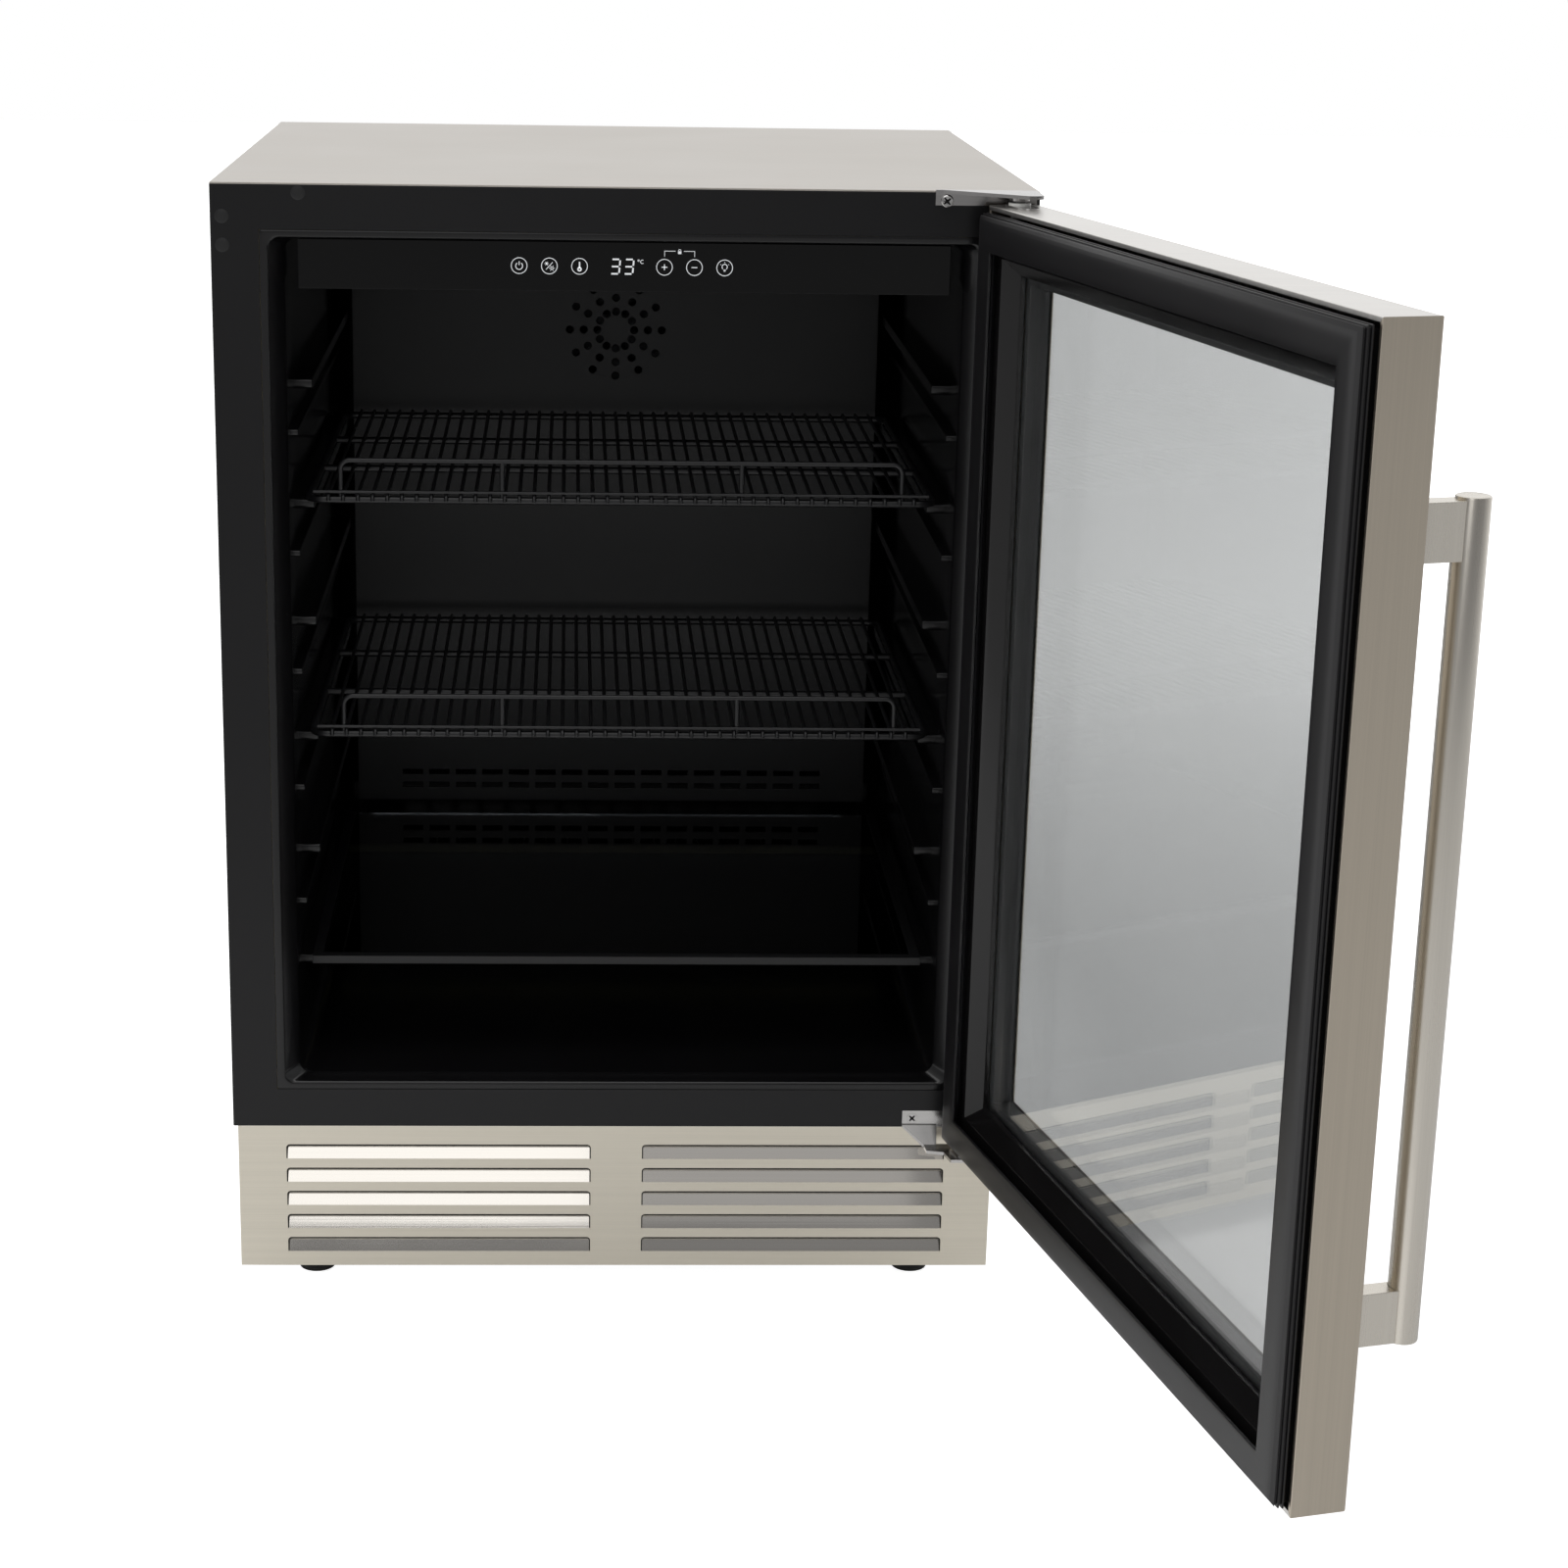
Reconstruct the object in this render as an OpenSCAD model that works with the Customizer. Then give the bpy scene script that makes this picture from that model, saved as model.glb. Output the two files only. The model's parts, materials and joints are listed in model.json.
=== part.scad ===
// Under-counter mini fridge with a hinged glass door, three pull-out shelves and a front-breathing cooling unit.
// Millimetres, +Z up. The origin is on the floor under the middle of the cabinet's front edge, and +Y runs
// towards the back. Door pieces are drawn shut and then swung open by door_open about the hinge axis.

/* [Cabinet] */
// Width of the cabinet
cabinet_w = 595; // [560:1:620]
// Height of the top surface above the floor
cabinet_h = 866; // [840:1:900]
// Depth from the front frame to the back panel
cabinet_d = 567; // [540:1:600]
// Thickness of the outer sheet metal
sheet = 1; // [0.8:0.1:1.2]
// Thickness of the top panel
top_t = 1.3; // [1:0.1:2]
// Width of each upright of the front frame
stile_w = 34.5; // [30:0.5:40]
// Height of the front frame above the opening
header_h = 33; // [28:0.5:40]
// Height of the front frame below the opening
sill_h = 30.5; // [28:0.5:36]

/* [Interior] */
// Width of the trim that frames the opening
trim_w = 6; // [4:0.5:8]
// Width of that trim above the opening
trim_top = 5.5; // [2:0.5:6]
// Thickness of the moulded liner
liner_t = 1.6; // [1.2:0.1:2.5]
// Width between the liner's side walls
inner_w = 492; // [470:1:500]
// Distance from the front frame to the liner's rear wall
inner_y = 505; // [490:1:510]
// Height between two shelf positions
ledge_pitch = 91; // [80:1:95]

/* [Shelves] */
// Width of a shelf
shelf_w = 476; // [460:1:478]
// Distance of a shelf's front edge behind the front frame
shelf_front = 45; // [40:1:60]
// Depth of a shelf
shelf_d = 390; // [340:1:395]
// Height of the upper wire shelf above the floor
shelf_top_z = 631; // [631:1:631]
// Spacing of the front-to-back wires
wire_pitch = 11; // [10:0.5:16]
// Radius of the front-to-back wires
wire_r = 1.5; // [1.2:0.1:2]
// Radius of the frame wires
rod_r = 2.8; // [2.4:0.1:3.2]
// Height of the guard rail above the deck
guard_h = 28; // [20:1:32]

/* [Kick plate] */
// Height of the kick plate's lower edge above the floor
floor_gap = 25; // [20:1:30]
// Height of the kick plate
kick_h = 118; // [112:1:119]
// Distance of the kick plate from each side of the cabinet
kick_inset = 3.5; // [2:0.5:5]
// Width of one group of louvres
louvre_w = 237; // [200:1:240]
// Height of one louvre
louvre_h = 12; // [9:0.5:13]
// Spacing of the louvres
louvre_pitch = 19.6; // [18:0.1:20]

/* [Door] */
// Angle to which the door is swung open
door_open = 103.4; // [0:0.1:110]
// Thickness of the steel door frame
door_t = 37; // [34:0.5:40]
// Width of the steel door frame around the glass
door_frame_w = 52; // [48:0.5:56]
// Gap between the cabinet and the steel door frame when shut
door_gap = 12; // [11:0.5:14]
// Height of the door's lower edge above the floor
door_z0 = 136; // [136:0.5:137]
// Height of the door's upper edge above the floor
door_z1 = 857.5; // [856:0.5:858]
// Distance of the hinge axis from the middle of the cabinet
hinge_x = 279; // [278:0.5:280]
// Distance of the hinge axis in front of the cabinet
hinge_out = 28; // [28:0.5:30]
// Radius of the hinge pins
pin_r = 4; // [3.5:0.1:4.5]
// Radial clearance between a pin and its bush
pin_clear = 0.05; // [0.02:0.01:0.1]

/* [Handle] */
// Length of the handle bar
handle_l = 516; // [400:1:560]
// Radius of the handle bar
handle_r = 10.2; // [9:0.1:13]
// Distance of the bar's centre line from the door's face
handle_out = 36; // [34:0.5:50]
// Distance of the bar's centre line from the door's free edge
handle_inset = 16.5; // [14:0.5:24]
// Height of a handle post
post_h = 34.5; // [28:0.5:40]
// Width of a handle post
post_w = 14; // [10:0.5:18]

/* [Feet] */
// Distance of the feet from the middle of the cabinet
foot_x = 239; // [220:1:250]
// Distance of the front feet behind the front frame
foot_front_y = 56; // [45:1:80]
// Distance of the rear feet behind the front frame
foot_rear_y = 515; // [480:1:525]
// Radius of a foot pad
foot_r = 14; // [12:0.5:18]
// Travel of a levelling foot
foot_travel = 10; // [5:1:12]

/* [Hidden] */
$fn = 48;
e = 0.01;                                   // how far a cutter runs past a face

black = "#1d1d20";
gloss = "#0b0b0d";
steel = "#b9b4aa";
zinc = "#c9c9c7";
grey = "#8d8f90";

hw = cabinet_w / 2;                         // half the cabinet's width
frame_x = hw - stile_w;                     // inner edge of the front frame's uprights
case_top = cabinet_h - top_t;               // underside of the top panel
kick_top = floor_gap + kick_h;
sill_top = kick_top + sill_h;
header_z = cabinet_h - header_h;
case_x = hw - sheet;                        // inner face of the side panels
case_y = cabinet_d - sheet;                 // inner face of the back panel
base_x = hw - kick_inset;                   // the base is a little narrower than the cabinet

liner_x = inner_w / 2;
floor_z = sill_top + trim_w + 4.5;          // liner floor
ceiling_z = header_z - trim_top - 1.5;      // liner ceiling
throat_y = 12;                              // depth of the bevel behind the trim
hump_y = 350;                               // front of the step over the compressor
hump_z = floor_z + 76;                      // top of that step
deck_y = hump_y + 41;                       // machine compartment's tall part starts here
deck_z = hump_z - 37;                       // and reaches this height

shelf_z = [for (i = [0:2]) shelf_top_z - 2 * i * ledge_pitch];
ledge_reach = 14;                           // how far a ledge stands in from the side wall
ledge_h = 8;
ledge_top = shelf_top_z - wire_r - 2 * rod_r + 0.5;     // ledge under the upper shelf
small_ledge_drop = 32;                      // a short rib below each ledge

louvre_x = [-20 - louvre_w, 20];            // left edge of each group of louvres
louvre_z = floor_gap + 12;                  // lower edge of the lowest louvre

face_y = -(door_gap + door_t);              // door's outer face
door_h = door_z1 - door_z0;
door_mid = (door_z0 + door_z1) / 2;
mitre = 60;                                 // reach of a mitre cut
hinge_y = -hinge_out;
skin = 1;                                   // thickness of the door's steel
gasket_gap = 0.6;                           // gap left between the shut gasket and the cabinet
inner_face = door_gap - 2;                  // inner frame's face stands this far from the cabinet
pane_t = 4;
inner_pane_y = -25;                         // face of the inner pane
outer_pane_y = face_y + skin;               // outer face of the outer pane
lip_u = door_frame_w - 6.5;                 // inner frame's opening, from the door's edge

handle_x = -hw + handle_inset;
handle_y = face_y - handle_out;
post_z = [door_mid - handle_l / 2 + 0.5 + post_h / 2, door_mid + handle_l / 2 - 2 - post_h / 2];

plate_z = door_z1;                          // underside of the door's upper hinge plate
bracket_top = cabinet_h + 0.8;               // top of the upper bracket's arm
bracket_t = 2.5;
tongue_top = door_z0 - 3;                   // top of the lower bracket's tongue
lower_plate = [223, 292];                   // lower bracket's screw plate, from and to
lower_t = 1.6;                              // and its thickness
hinge_screw = [230.2, cabinet_h - 7.1];       // upper bracket's screws
hinge_screw_2 = 284;                        // the second one's x
sill_screw = [230.8, 150];                  // lower bracket's screws
sill_screw_2 = 284;                         // the second one's x
plug_at = [[-234.6, cabinet_h - 7], [-289.2, cabinet_h - 24], [-289.2, cabinet_h - 44.5]];

feet = [[-foot_x, foot_front_y], [foot_x, foot_front_y], [-foot_x, foot_rear_y], [foot_x, foot_rear_y]];
stud_r = 4;
boss_z = floor_gap + 2.5;                   // top of the base pan's floor

fan_e = [0, 474, 700];                      // evaporator fan's centre
fan_e_r = 52;
fan_c = [-130, 190, boss_z + 57];           // condenser fan's centre
fan_c_r = 52;
comp_at = [60, 480];                        // compressor's centre

// ---- helpers ---------------------------------------------------------------------------------------

module block(from, to) {
    translate(from) cube([to[0] - from[0], to[1] - from[1], to[2] - from[2]]);
}

// A round rod between two points that share two of their coordinates
module rod(from, to, r, sides = 8) {
    d = to - from;
    turn = d[0] != 0 ? [0, 90, 0] : d[1] != 0 ? [-90, 0, 0] : [0, 0, 0];
    translate(from) rotate(turn) cylinder(r = r, h = norm(d), $fn = sides);
}

module along_y(at, r, from, to) {
    translate([at[0], from, at[1]]) rotate([-90, 0, 0]) cylinder(r = r, h = to - from);
}

module swung() {
    translate([hinge_x, hinge_y, 0]) rotate([0, 0, door_open]) translate([-hinge_x, -hinge_y, 0]) children();
}

// One mitred side of a door ring. The 2D child has its x inwards from the door's edge and its y along Y.
module ring_bar(length) {
    intersection() {
        linear_extrude(length) children();
        translate([0, 100, 0]) rotate([90, 0, 0]) linear_extrude(200)
            polygon([[0, 0], [mitre, mitre], [mitre, length - mitre], [0, length]]);
    }
}
module ring_left()   { translate([-hw, 0, door_z0]) ring_bar(door_h) children(); }
module ring_right()  { mirror([1, 0, 0]) ring_left() children(); }
module ring_top()    { translate([-hw, 0, door_z1]) rotate([0, 90, 0]) ring_bar(cabinet_w) children(); }
module ring_bottom() { translate([0, 0, 2 * door_mid]) mirror([0, 0, 1]) ring_top() children(); }
module ring() {
    ring_left() children();
    ring_right() children();
    ring_top() children();
    ring_bottom() children();
}

// ---- cabinet ---------------------------------------------------------------------------------------

module side_panel() {
    block([case_x, 0, kick_top], [hw, cabinet_d, case_top]);
    block([frame_x, 0, kick_top], [hw, sheet, case_top]);
}

module side_panel_left() color(black) difference() {
    mirror([1, 0, 0]) side_panel();
    for (i = [1, 2]) along_y(plug_at[i], 3, -1, 2);
}

module side_panel_right() color(black) difference() {
    side_panel();
    block([frame_x - 1, -1, kick_top - 1], [lower_plate[1] + 0.3, 2, kick_top + 13.6]);
    along_y([hinge_screw_2, hinge_screw[1]], 2.1, -1, 2);
}

module top_panel() color(steel) block([-hw, 0, case_top], [hw, cabinet_d, cabinet_h]);

module back_panel() color(black) block([-case_x, case_y, deck_z + sheet], [case_x, cabinet_d, case_top]);

module front_header() color(black) difference() {
    block([-frame_x, 0, header_z], [frame_x, sheet, case_top]);
    along_y(plug_at[0], 3, -1, 2);
    along_y(hinge_screw, 2.1, -1, 2);
}

module front_sill() color(black) difference() {
    block([-frame_x, 0, kick_top], [frame_x, throat_y, sill_top]);
    block([-frame_x + 1, 1, kick_top + 1], [frame_x - 1, throat_y - 1, sill_top - 1]);
    block([lower_plate[0] - 0.3, -1, kick_top - 1], [frame_x + 1, 1.6, kick_top + 13.6]);
    along_y(sill_screw, 2.1, -1, throat_y + 1);
}

// The space that the liner encloses, grown by g all round
module cavity(g) {
    x1 = frame_x - trim_w + g;
    difference() {
        block([-liner_x - g, throat_y - e, floor_z - g], [liner_x + g, inner_y + g, ceiling_z + g]);
        block([-liner_x - 10, hump_y + g, floor_z - 10], [liner_x + 10, inner_y + 10, hump_z - g]);
    }
    intersection() {
        translate([0, 0, 100]) linear_extrude(800)
            polygon([[-x1, 0], [x1, 0], [liner_x + g, throat_y], [-liner_x - g, throat_y]]);
        translate([-400, 0, 0]) rotate([90, 0, 90]) linear_extrude(800)
            polygon([[0, sill_top + trim_w - g], [throat_y, floor_z - g],
                     [throat_y, ceiling_z + g], [0, header_z - trim_top + g]]);
    }
}

// The ribs on the side walls that carry the shelves
module ledges() {
    for (s = [-1, 1]) scale([s, 1, 1]) {
        for (i = [-4:1]) {
            z = ledge_top + i * ledge_pitch;
            block([liner_x - ledge_reach, 67, z - ledge_h], [liner_x + 1, 450, z]);
            if (i > -4) block([liner_x - 6, 30, z - small_ledge_drop - 5],
                              [liner_x + 1, 450, z - small_ledge_drop]);
        }
    }
}

module inner_liner() color(gloss) {
    difference() {
        union() {
            block([-frame_x, 0, sill_top], [frame_x, liner_t, header_z]);
            difference() {
                cavity(liner_t);
                block([-frame_x - 5, -1, sill_top - 5], [frame_x + 5, liner_t, header_z + 5]);
            }
        }
        difference() {
            union() {
                cavity(0);
                block([-frame_x + trim_w, -1, sill_top + trim_w], [frame_x - trim_w, e, header_z - trim_top]);
            }
            ledges();
        }
    }
}

module insulation_foam() color("#e8d9a8") difference() {
    block([-case_x, liner_t, kick_top + sheet], [case_x, case_y, case_top]);
    block([-frame_x, 0, kick_top - 1], [frame_x, throat_y, sill_top]);
    block([-hw, deck_y - sheet, kick_top - 1], [hw, cabinet_d, deck_z + sheet]);
    cavity(liner_t);
    along_y([sill_screw_2, sill_screw[1]], 2.2, 0, 12);
}

module machine_deck() color(grey) {
    block([-case_x, throat_y, kick_top], [case_x, deck_y, kick_top + sheet]);
    block([-case_x, deck_y - sheet, kick_top], [case_x, deck_y, deck_z]);
    block([-case_x, deck_y - sheet, deck_z], [case_x, case_y, deck_z + sheet]);
}

module base_pan() color(grey) difference() {
    union() {
        block([-base_x, throat_y + 1, floor_gap + 1], [base_x, case_y, boss_z]);
        for (s = [0, 1]) mirror([s, 0, 0]) {
            block([base_x - sheet, throat_y + 1, floor_gap + 1], [base_x, case_y, kick_top]);
            block([base_x - sheet, throat_y + 1, kick_top - sheet], [hw, case_y, kick_top]);
        }
        for (p = feet) translate([p[0], p[1], boss_z]) cylinder(r = 9, h = 15);
    }
    for (p = feet) translate([p[0], p[1], 0]) cylinder(r = stud_r + pin_clear, h = 80);
}

module louvre_hole(x, z) {
    r = 3;
    translate([x, 2, z]) rotate([90, 0, 0]) linear_extrude(3) {
        square([louvre_w, louvre_h - r]);
        translate([r, 0]) square([louvre_w - 2 * r, louvre_h]);
        for (u = [r, louvre_w - r]) translate([u, louvre_h - r]) circle(r = r);
    }
}

// A blade stays joined to the sheet along its lower edge and leans in
module louvre_blade(x, z) {
    lean = 5;
    translate([x + 0.6, 0, z]) rotate([90, 0, 90]) linear_extrude(louvre_w - 1.2)
        polygon([[0, 0], [sheet, 0], [sheet + lean, louvre_h - 0.7], [lean, louvre_h - 0.7]]);
}

module kick_plate() color(steel) {
    x = base_x;
    difference() {
        block([-x, 0, floor_gap], [x, throat_y, kick_top]);
        block([-x + sheet, sheet, floor_gap + sheet], [x - sheet, throat_y + 1, kick_top + 1]);
        for (gx = louvre_x, i = [0:4]) louvre_hole(gx, louvre_z + i * louvre_pitch);
    }
    for (gx = louvre_x, i = [0:4]) louvre_blade(gx, louvre_z + i * louvre_pitch);
}

module rear_cover() color(black) difference() {
    union() {
        block([-base_x, case_y, floor_gap + 1], [base_x, cabinet_d, kick_top + 1]);
        block([-case_x, case_y, kick_top], [case_x, cabinet_d, deck_z + sheet]);
    }
    for (x = [-240:30:240], z = [70, 125]) block([x - 9, case_y - 1, z], [x + 9, cabinet_d + 1, z + 40]);
    along_y([-220, 46], 8, case_y - 1, cabinet_d + 1);
}

module hole_plugs() color(gloss) for (p = plug_at) {
    along_y(p, 5.2, -0.25, 0);
    along_y(p, 4.4, -0.5, -0.25);
    along_y(p, 3, 0, sheet);
}

// ---- hinges ----------------------------------------------------------------------------------------

// Each pin is riveted into its bracket; its collar carries or spaces the door
module top_pin() translate([hinge_x, hinge_y, 0]) {
    translate([0, 0, door_z1 - 16]) cylinder(r = pin_r, h = bracket_top - door_z1 + 16);
    translate([0, 0, bracket_top - bracket_t - 2]) cylinder(r = 7, h = 2 + e);
}

module bottom_pin() translate([hinge_x, hinge_y, 0]) {
    translate([0, 0, tongue_top - bracket_t - 4]) cylinder(r1 = 4.5, r2 = 6.5, h = 4 + e);
    translate([0, 0, tongue_top - bracket_t]) cylinder(r = pin_r, h = bracket_t + 21);
    translate([0, 0, tongue_top - e]) cylinder(r = 9, h = 1.4 + e);
}

module top_hinge_bracket() color(zinc) difference() {
    union() {
        top_pin();
        block([222, -bracket_t, cabinet_h - 10.2], [295, 0, bracket_top]);
        translate([0, 0, bracket_top - bracket_t]) linear_extrude(bracket_t) {
            polygon([[224, 0], [295, 0], [295, -36], [289, -42], [284, -42]]);
            translate([289, -36]) circle(r = 6);
        }
    }
    along_y(hinge_screw, 2.1, -4, 1);
    along_y([hinge_screw_2, hinge_screw[1]], 2.1, -4, 1);
    countersink([hinge_screw_2, -bracket_t, hinge_screw[1]]);
}

module countersink(at) translate([at[0], at[1] - e, at[2]]) rotate([-90, 0, 0]) cylinder(r1 = 4.3, r2 = 2.1, h = 1.7);

module bottom_hinge_bracket() color(zinc) difference() {
    union() {
        bottom_pin();
        block([lower_plate[0], 0, kick_top + 0.2], [lower_plate[1], lower_t, kick_top + 13.4]);
        hull() {
            block([lower_plate[0], -1.6, kick_top + 0.2], [250, 0, kick_top + 2]);
            block([239, -12, tongue_top - bracket_t], [249, -10, tongue_top]);
        }
        translate([0, 0, tongue_top - bracket_t]) linear_extrude(bracket_t) {
            polygon([[239, -10.5], [262, -10.5], [292, -20], [292, -36], [286, -42], [257, -42], [253, -27],
                     [240, -24]]);
            translate([hinge_x, hinge_y]) circle(r = 13);
        }
        translate([266, -36, tongue_top]) cylinder(r = 3, h = 0.8);
    }
    for (x = [sill_screw[0], sill_screw_2]) {
        along_y([x, sill_screw[1]], 2.1, -1, 3);
        countersink([x, 0, sill_screw[1]]);
    }
}

module pan_screw(x, z, y, length) {
    translate([x, y, z]) rotate([90, 0, 0]) difference() {
        union() {
            translate([0, 0, -length]) cylinder(r = 2.1, h = length + e);
            cylinder(r1 = 4.7, r2 = 3.3, h = 2);
        }
        for (a = [0, 90]) rotate([0, 0, a]) translate([-2.6, -0.55, 1]) cube([5.2, 1.1, 2]);
    }
}

module flush_screw(x, z, y, length) {
    translate([x, y, z]) rotate([90, 0, 0]) difference() {
        union() {
            translate([0, 0, -length]) cylinder(r = 2.1, h = length);
            translate([0, 0, -1.6]) cylinder(r1 = 2.1, r2 = 4.2, h = 1.6);
        }
        for (a = [0, 90]) rotate([0, 0, a + 45]) translate([-2.4, -0.5, -1]) cube([4.8, 1, 2]);
    }
}

module hinge_screws() color(zinc) {
    pan_screw(hinge_screw[0], hinge_screw[1], -bracket_t, bracket_t + sheet);
    flush_screw(hinge_screw_2, hinge_screw[1], -bracket_t, bracket_t + sheet);
    for (x = [sill_screw[0], sill_screw_2]) flush_screw(x, sill_screw[1], 0, 9);
}

// ---- inside the cabinet ----------------------------------------------------------------------------

panel_x = 236;
panel_y = 8;
panel_z = ceiling_z - 36;

module touch_panel() color(gloss) block([-panel_x, panel_y, panel_z], [panel_x, panel_y + 3, ceiling_z - 0.1]);

module control_housing() color(black) difference() {
    block([-panel_x, panel_y + 3, panel_z + 1], [panel_x, 80, ceiling_z]);
    block([-panel_x + 2, panel_y + 5, panel_z + 3], [panel_x - 2, 78, ceiling_z + 1]);
}

module light_bar() color("#f4f6f8") block([-150, 40, panel_z - 3], [150, 62, panel_z + 1]);

module evaporator_cover() color(black) difference() {
    z0 = hump_z + 12;
    z1 = ceiling_z - 14;
    union() {
        block([-liner_x + ledge_reach + 3, 456, z0], [liner_x - ledge_reach - 3, 459, z1]);
        for (s = [0, 1]) mirror([s, 0, 0])
            block([-liner_x + ledge_reach + 3, 459, z0], [-liner_x + ledge_reach + 6, inner_y, z1]);
    }
    for (a = [0:30:330], r = [16, 28, 40])
        along_y([fan_e[0] + r * cos(a), fan_e[2] + r * sin(a)], 3.2, 455, 460);
    for (x = [-180:24:180]) block([x - 9, 455, z0 + 12], [x + 9, 460, z0 + 17]);
    for (x = [-180:24:180]) block([x - 9, 455, z0 + 24], [x + 9, 460, z0 + 29]);
}

// A tube that runs back and forth n times, with a bend at the end of every pass
module serpentine(x0, x1, y, z0, step, n, r) {
    for (i = [0:n - 1]) rod([x0, y, z0 + i * step], [x1, y, z0 + i * step], r, 24);
    for (i = [0:n - 2])
        translate([i % 2 == 0 ? x1 : x0, y, z0 + (i + 0.5) * step])
            rotate([90, i % 2 == 0 ? 90 : -90, 0])
                rotate_extrude(angle = 180, $fn = 24) translate([step / 2, 0]) circle(r = r, $fn = 24);
}

// Plates brazed onto the tubes
module fins(x0, x1, pitch, y0, y1, z0, z1) {
    for (x = [x0:pitch:x1]) block([x, y0, z0], [x + 0.8, y1, z1]);
}

module evaporator_coil() color("#c6c8ca") {
    serpentine(-170, 170, 482, 320, 36, 7, 4);
    fins(-160, 160, 20, 464, inner_y, 306, 550);
}

module condenser_coil() color("#3a3a3c") {
    serpentine(-225, -35, 120, 44, 20, 5, 3.5);
    fins(-215, -45, 10, 95, 145, boss_z, 134);
}

// Fan housing: a square frame with a round duct, a motor cup on three arms and a fixed shaft
module fan_frame(r, depth) {
    w = 2 * r + 10;
    difference() {
        translate([-w / 2, -depth / 2, -w / 2]) cube([w, depth, w]);
        rotate([90, 0, 0]) cylinder(r = r + 2, h = depth + 2, center = true);
    }
    for (a = [0:120:240]) rotate([0, a, 0]) translate([-2.5, depth / 2 - 4, 8]) cube([5, 4, r - 5]);
    translate([0, depth / 2, 0]) rotate([90, 0, 0]) cylinder(r = 13, h = 6);
    translate([0, depth / 2, 0]) rotate([90, 0, 0]) cylinder(r = 2, h = depth - 1);
}

module fan_rotor(r, depth) {
    difference() {
        union() {
            translate([0, depth / 2 - 6.5, 0]) rotate([90, 0, 0]) cylinder(r = 13, h = depth - 10);
            for (a = [0:60:300]) rotate([0, a, 0]) translate([0, 0, 11.5]) rotate([0, 0, 35])
                translate([-1, -7, 0]) cube([2, 14, r - 13]);
        }
        rotate([90, 0, 0]) cylinder(r = 2 + pin_clear, h = depth * 2, center = true);
    }
}

module evaporator_fan_frame() color(black) translate(fan_e) fan_frame(fan_e_r, 30);
module evaporator_fan() color(grey) translate(fan_e) fan_rotor(fan_e_r, 30);
module condenser_fan_frame() color(black) translate(fan_c) fan_frame(fan_c_r, 30);
module condenser_fan() color(grey) translate(fan_c) fan_rotor(fan_c_r, 30);

module compressor() color("#222224") translate([comp_at[0], comp_at[1], boss_z + 14]) {
    rotate_extrude() polygon([[0, 0], [62, 0], [72, 12], [75, 40], [75, 96], [70, 128], [56, 148], [30, 158], [0, 160]]);
    for (x = [-78, 78], y = [-52, 52]) translate([x - 14, y - 14, -4]) difference() {
        cube([28, 28, 4]);
        translate([14, 14, -1]) cylinder(r = 5, h = 6);
    }
    for (y = [-52, 52]) translate([-68, y - 8, -4]) cube([136, 16, 4]);
    translate([-8, -78, 50]) cube([44, 12, 50]);
}

module compressor_grommets() color("#2b2b2b") for (x = [-78, 78], y = [-52, 52])
    translate([comp_at[0] + x, comp_at[1] + y, boss_z]) {
        cylinder(r = 10, h = 10);
        cylinder(r = 5, h = 16);
    }

module control_box() color("#d9d9d4") difference() {
    block([90, 80, boss_z], [240, 210, boss_z + 60]);
    block([92, 82, boss_z + 2], [238, 208, boss_z + 58]);
}

module drip_tray() color(black) difference() {
    block([-200, 400, boss_z], [-40, 540, boss_z + 36]);
    block([-197, 403, boss_z + 3], [-43, 537, boss_z + 37]);
}

module power_inlet() color(black) {
    along_y([-220, 46], 12, cabinet_d, cabinet_d + 3);
    along_y([-220, 46], 8, case_y - 8, cabinet_d);
    translate([-220, cabinet_d + 3, 46]) rotate([-90, 0, 0]) difference() {
        cylinder(r1 = 9, r2 = 6.5, h = 9);
        translate([0, 0, -1]) cylinder(r = 4, h = 11);
    }
}

// ---- door ------------------------------------------------------------------------------------------

module steel_section() translate([0, face_y]) {
    square([door_frame_w, skin]);
    square([skin, door_t]);
    translate([0, door_t - skin]) square([3, skin]);
}

module door_stile_free() color(steel) swung() difference() {
    ring_left() steel_section();
    for (z = post_z) along_y([handle_x, z], 2.6, face_y - 1, face_y + 3);
}
module door_stile_hinge() color(steel) swung() ring_right() steel_section();

module bush_hole(r) { translate([hinge_x, hinge_y, door_z0 - 5]) cylinder(r = r, h = door_h + 10); }

module door_rail_top() color(steel) swung() difference() {
    ring_top() steel_section();
    bush_hole(6);
}
module door_rail_bottom() color(steel) swung() difference() {
    ring_bottom() steel_section();
    bush_hole(6);
}

module door_inner_frame() color(gloss) swung() difference() {
    ring() polygon([
        [7, -36], [7, -inner_face], [13.2, -inner_face], [13.2, -17.5], [16.8, -17.5], [16.8, -inner_face],
        [35.5, -inner_face], [lip_u, -21.5], [lip_u, inner_pane_y], [lip_u - 2.5, inner_pane_y],
        [lip_u - 2.5, -22.8], [34.8, -12.5], [19, -12.5], [19, -20], [11, -20], [11, -12.5],
        [9.5, -12.5], [9.5, -36]]);
    bush_hole(6.3);
}

// Bellows with two ribs on the outside, a wide magnetic face and a dart that holds in the inner frame
module door_gasket() color("#26262a") swung() ring() difference() {
    polygon([
        [8.5, -inner_face], [8.5, -8.7], [11, -8.2], [11, -7.7], [7.8, -7.1], [7.8, -6.3], [11, -5.7],
        [11, -5.2], [7.5, -4.7], [7.5, -4.2], [8.6, -2.9], [13, -gasket_gap], [30, -gasket_gap],
        [30.6, -1.2], [30.6, -4], [18, -4], [18, -7.5], [20, -8.6], [20, -inner_face], [16.6, -inner_face],
        [16.6, -14], [13.4, -14], [13.4, -inner_face]]);
    translate([17, -3.4]) square([11, 2]);
}

module gasket_magnet() color("#4a4038") swung() ring() translate([17, -3.4]) square([11, 2]);

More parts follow.
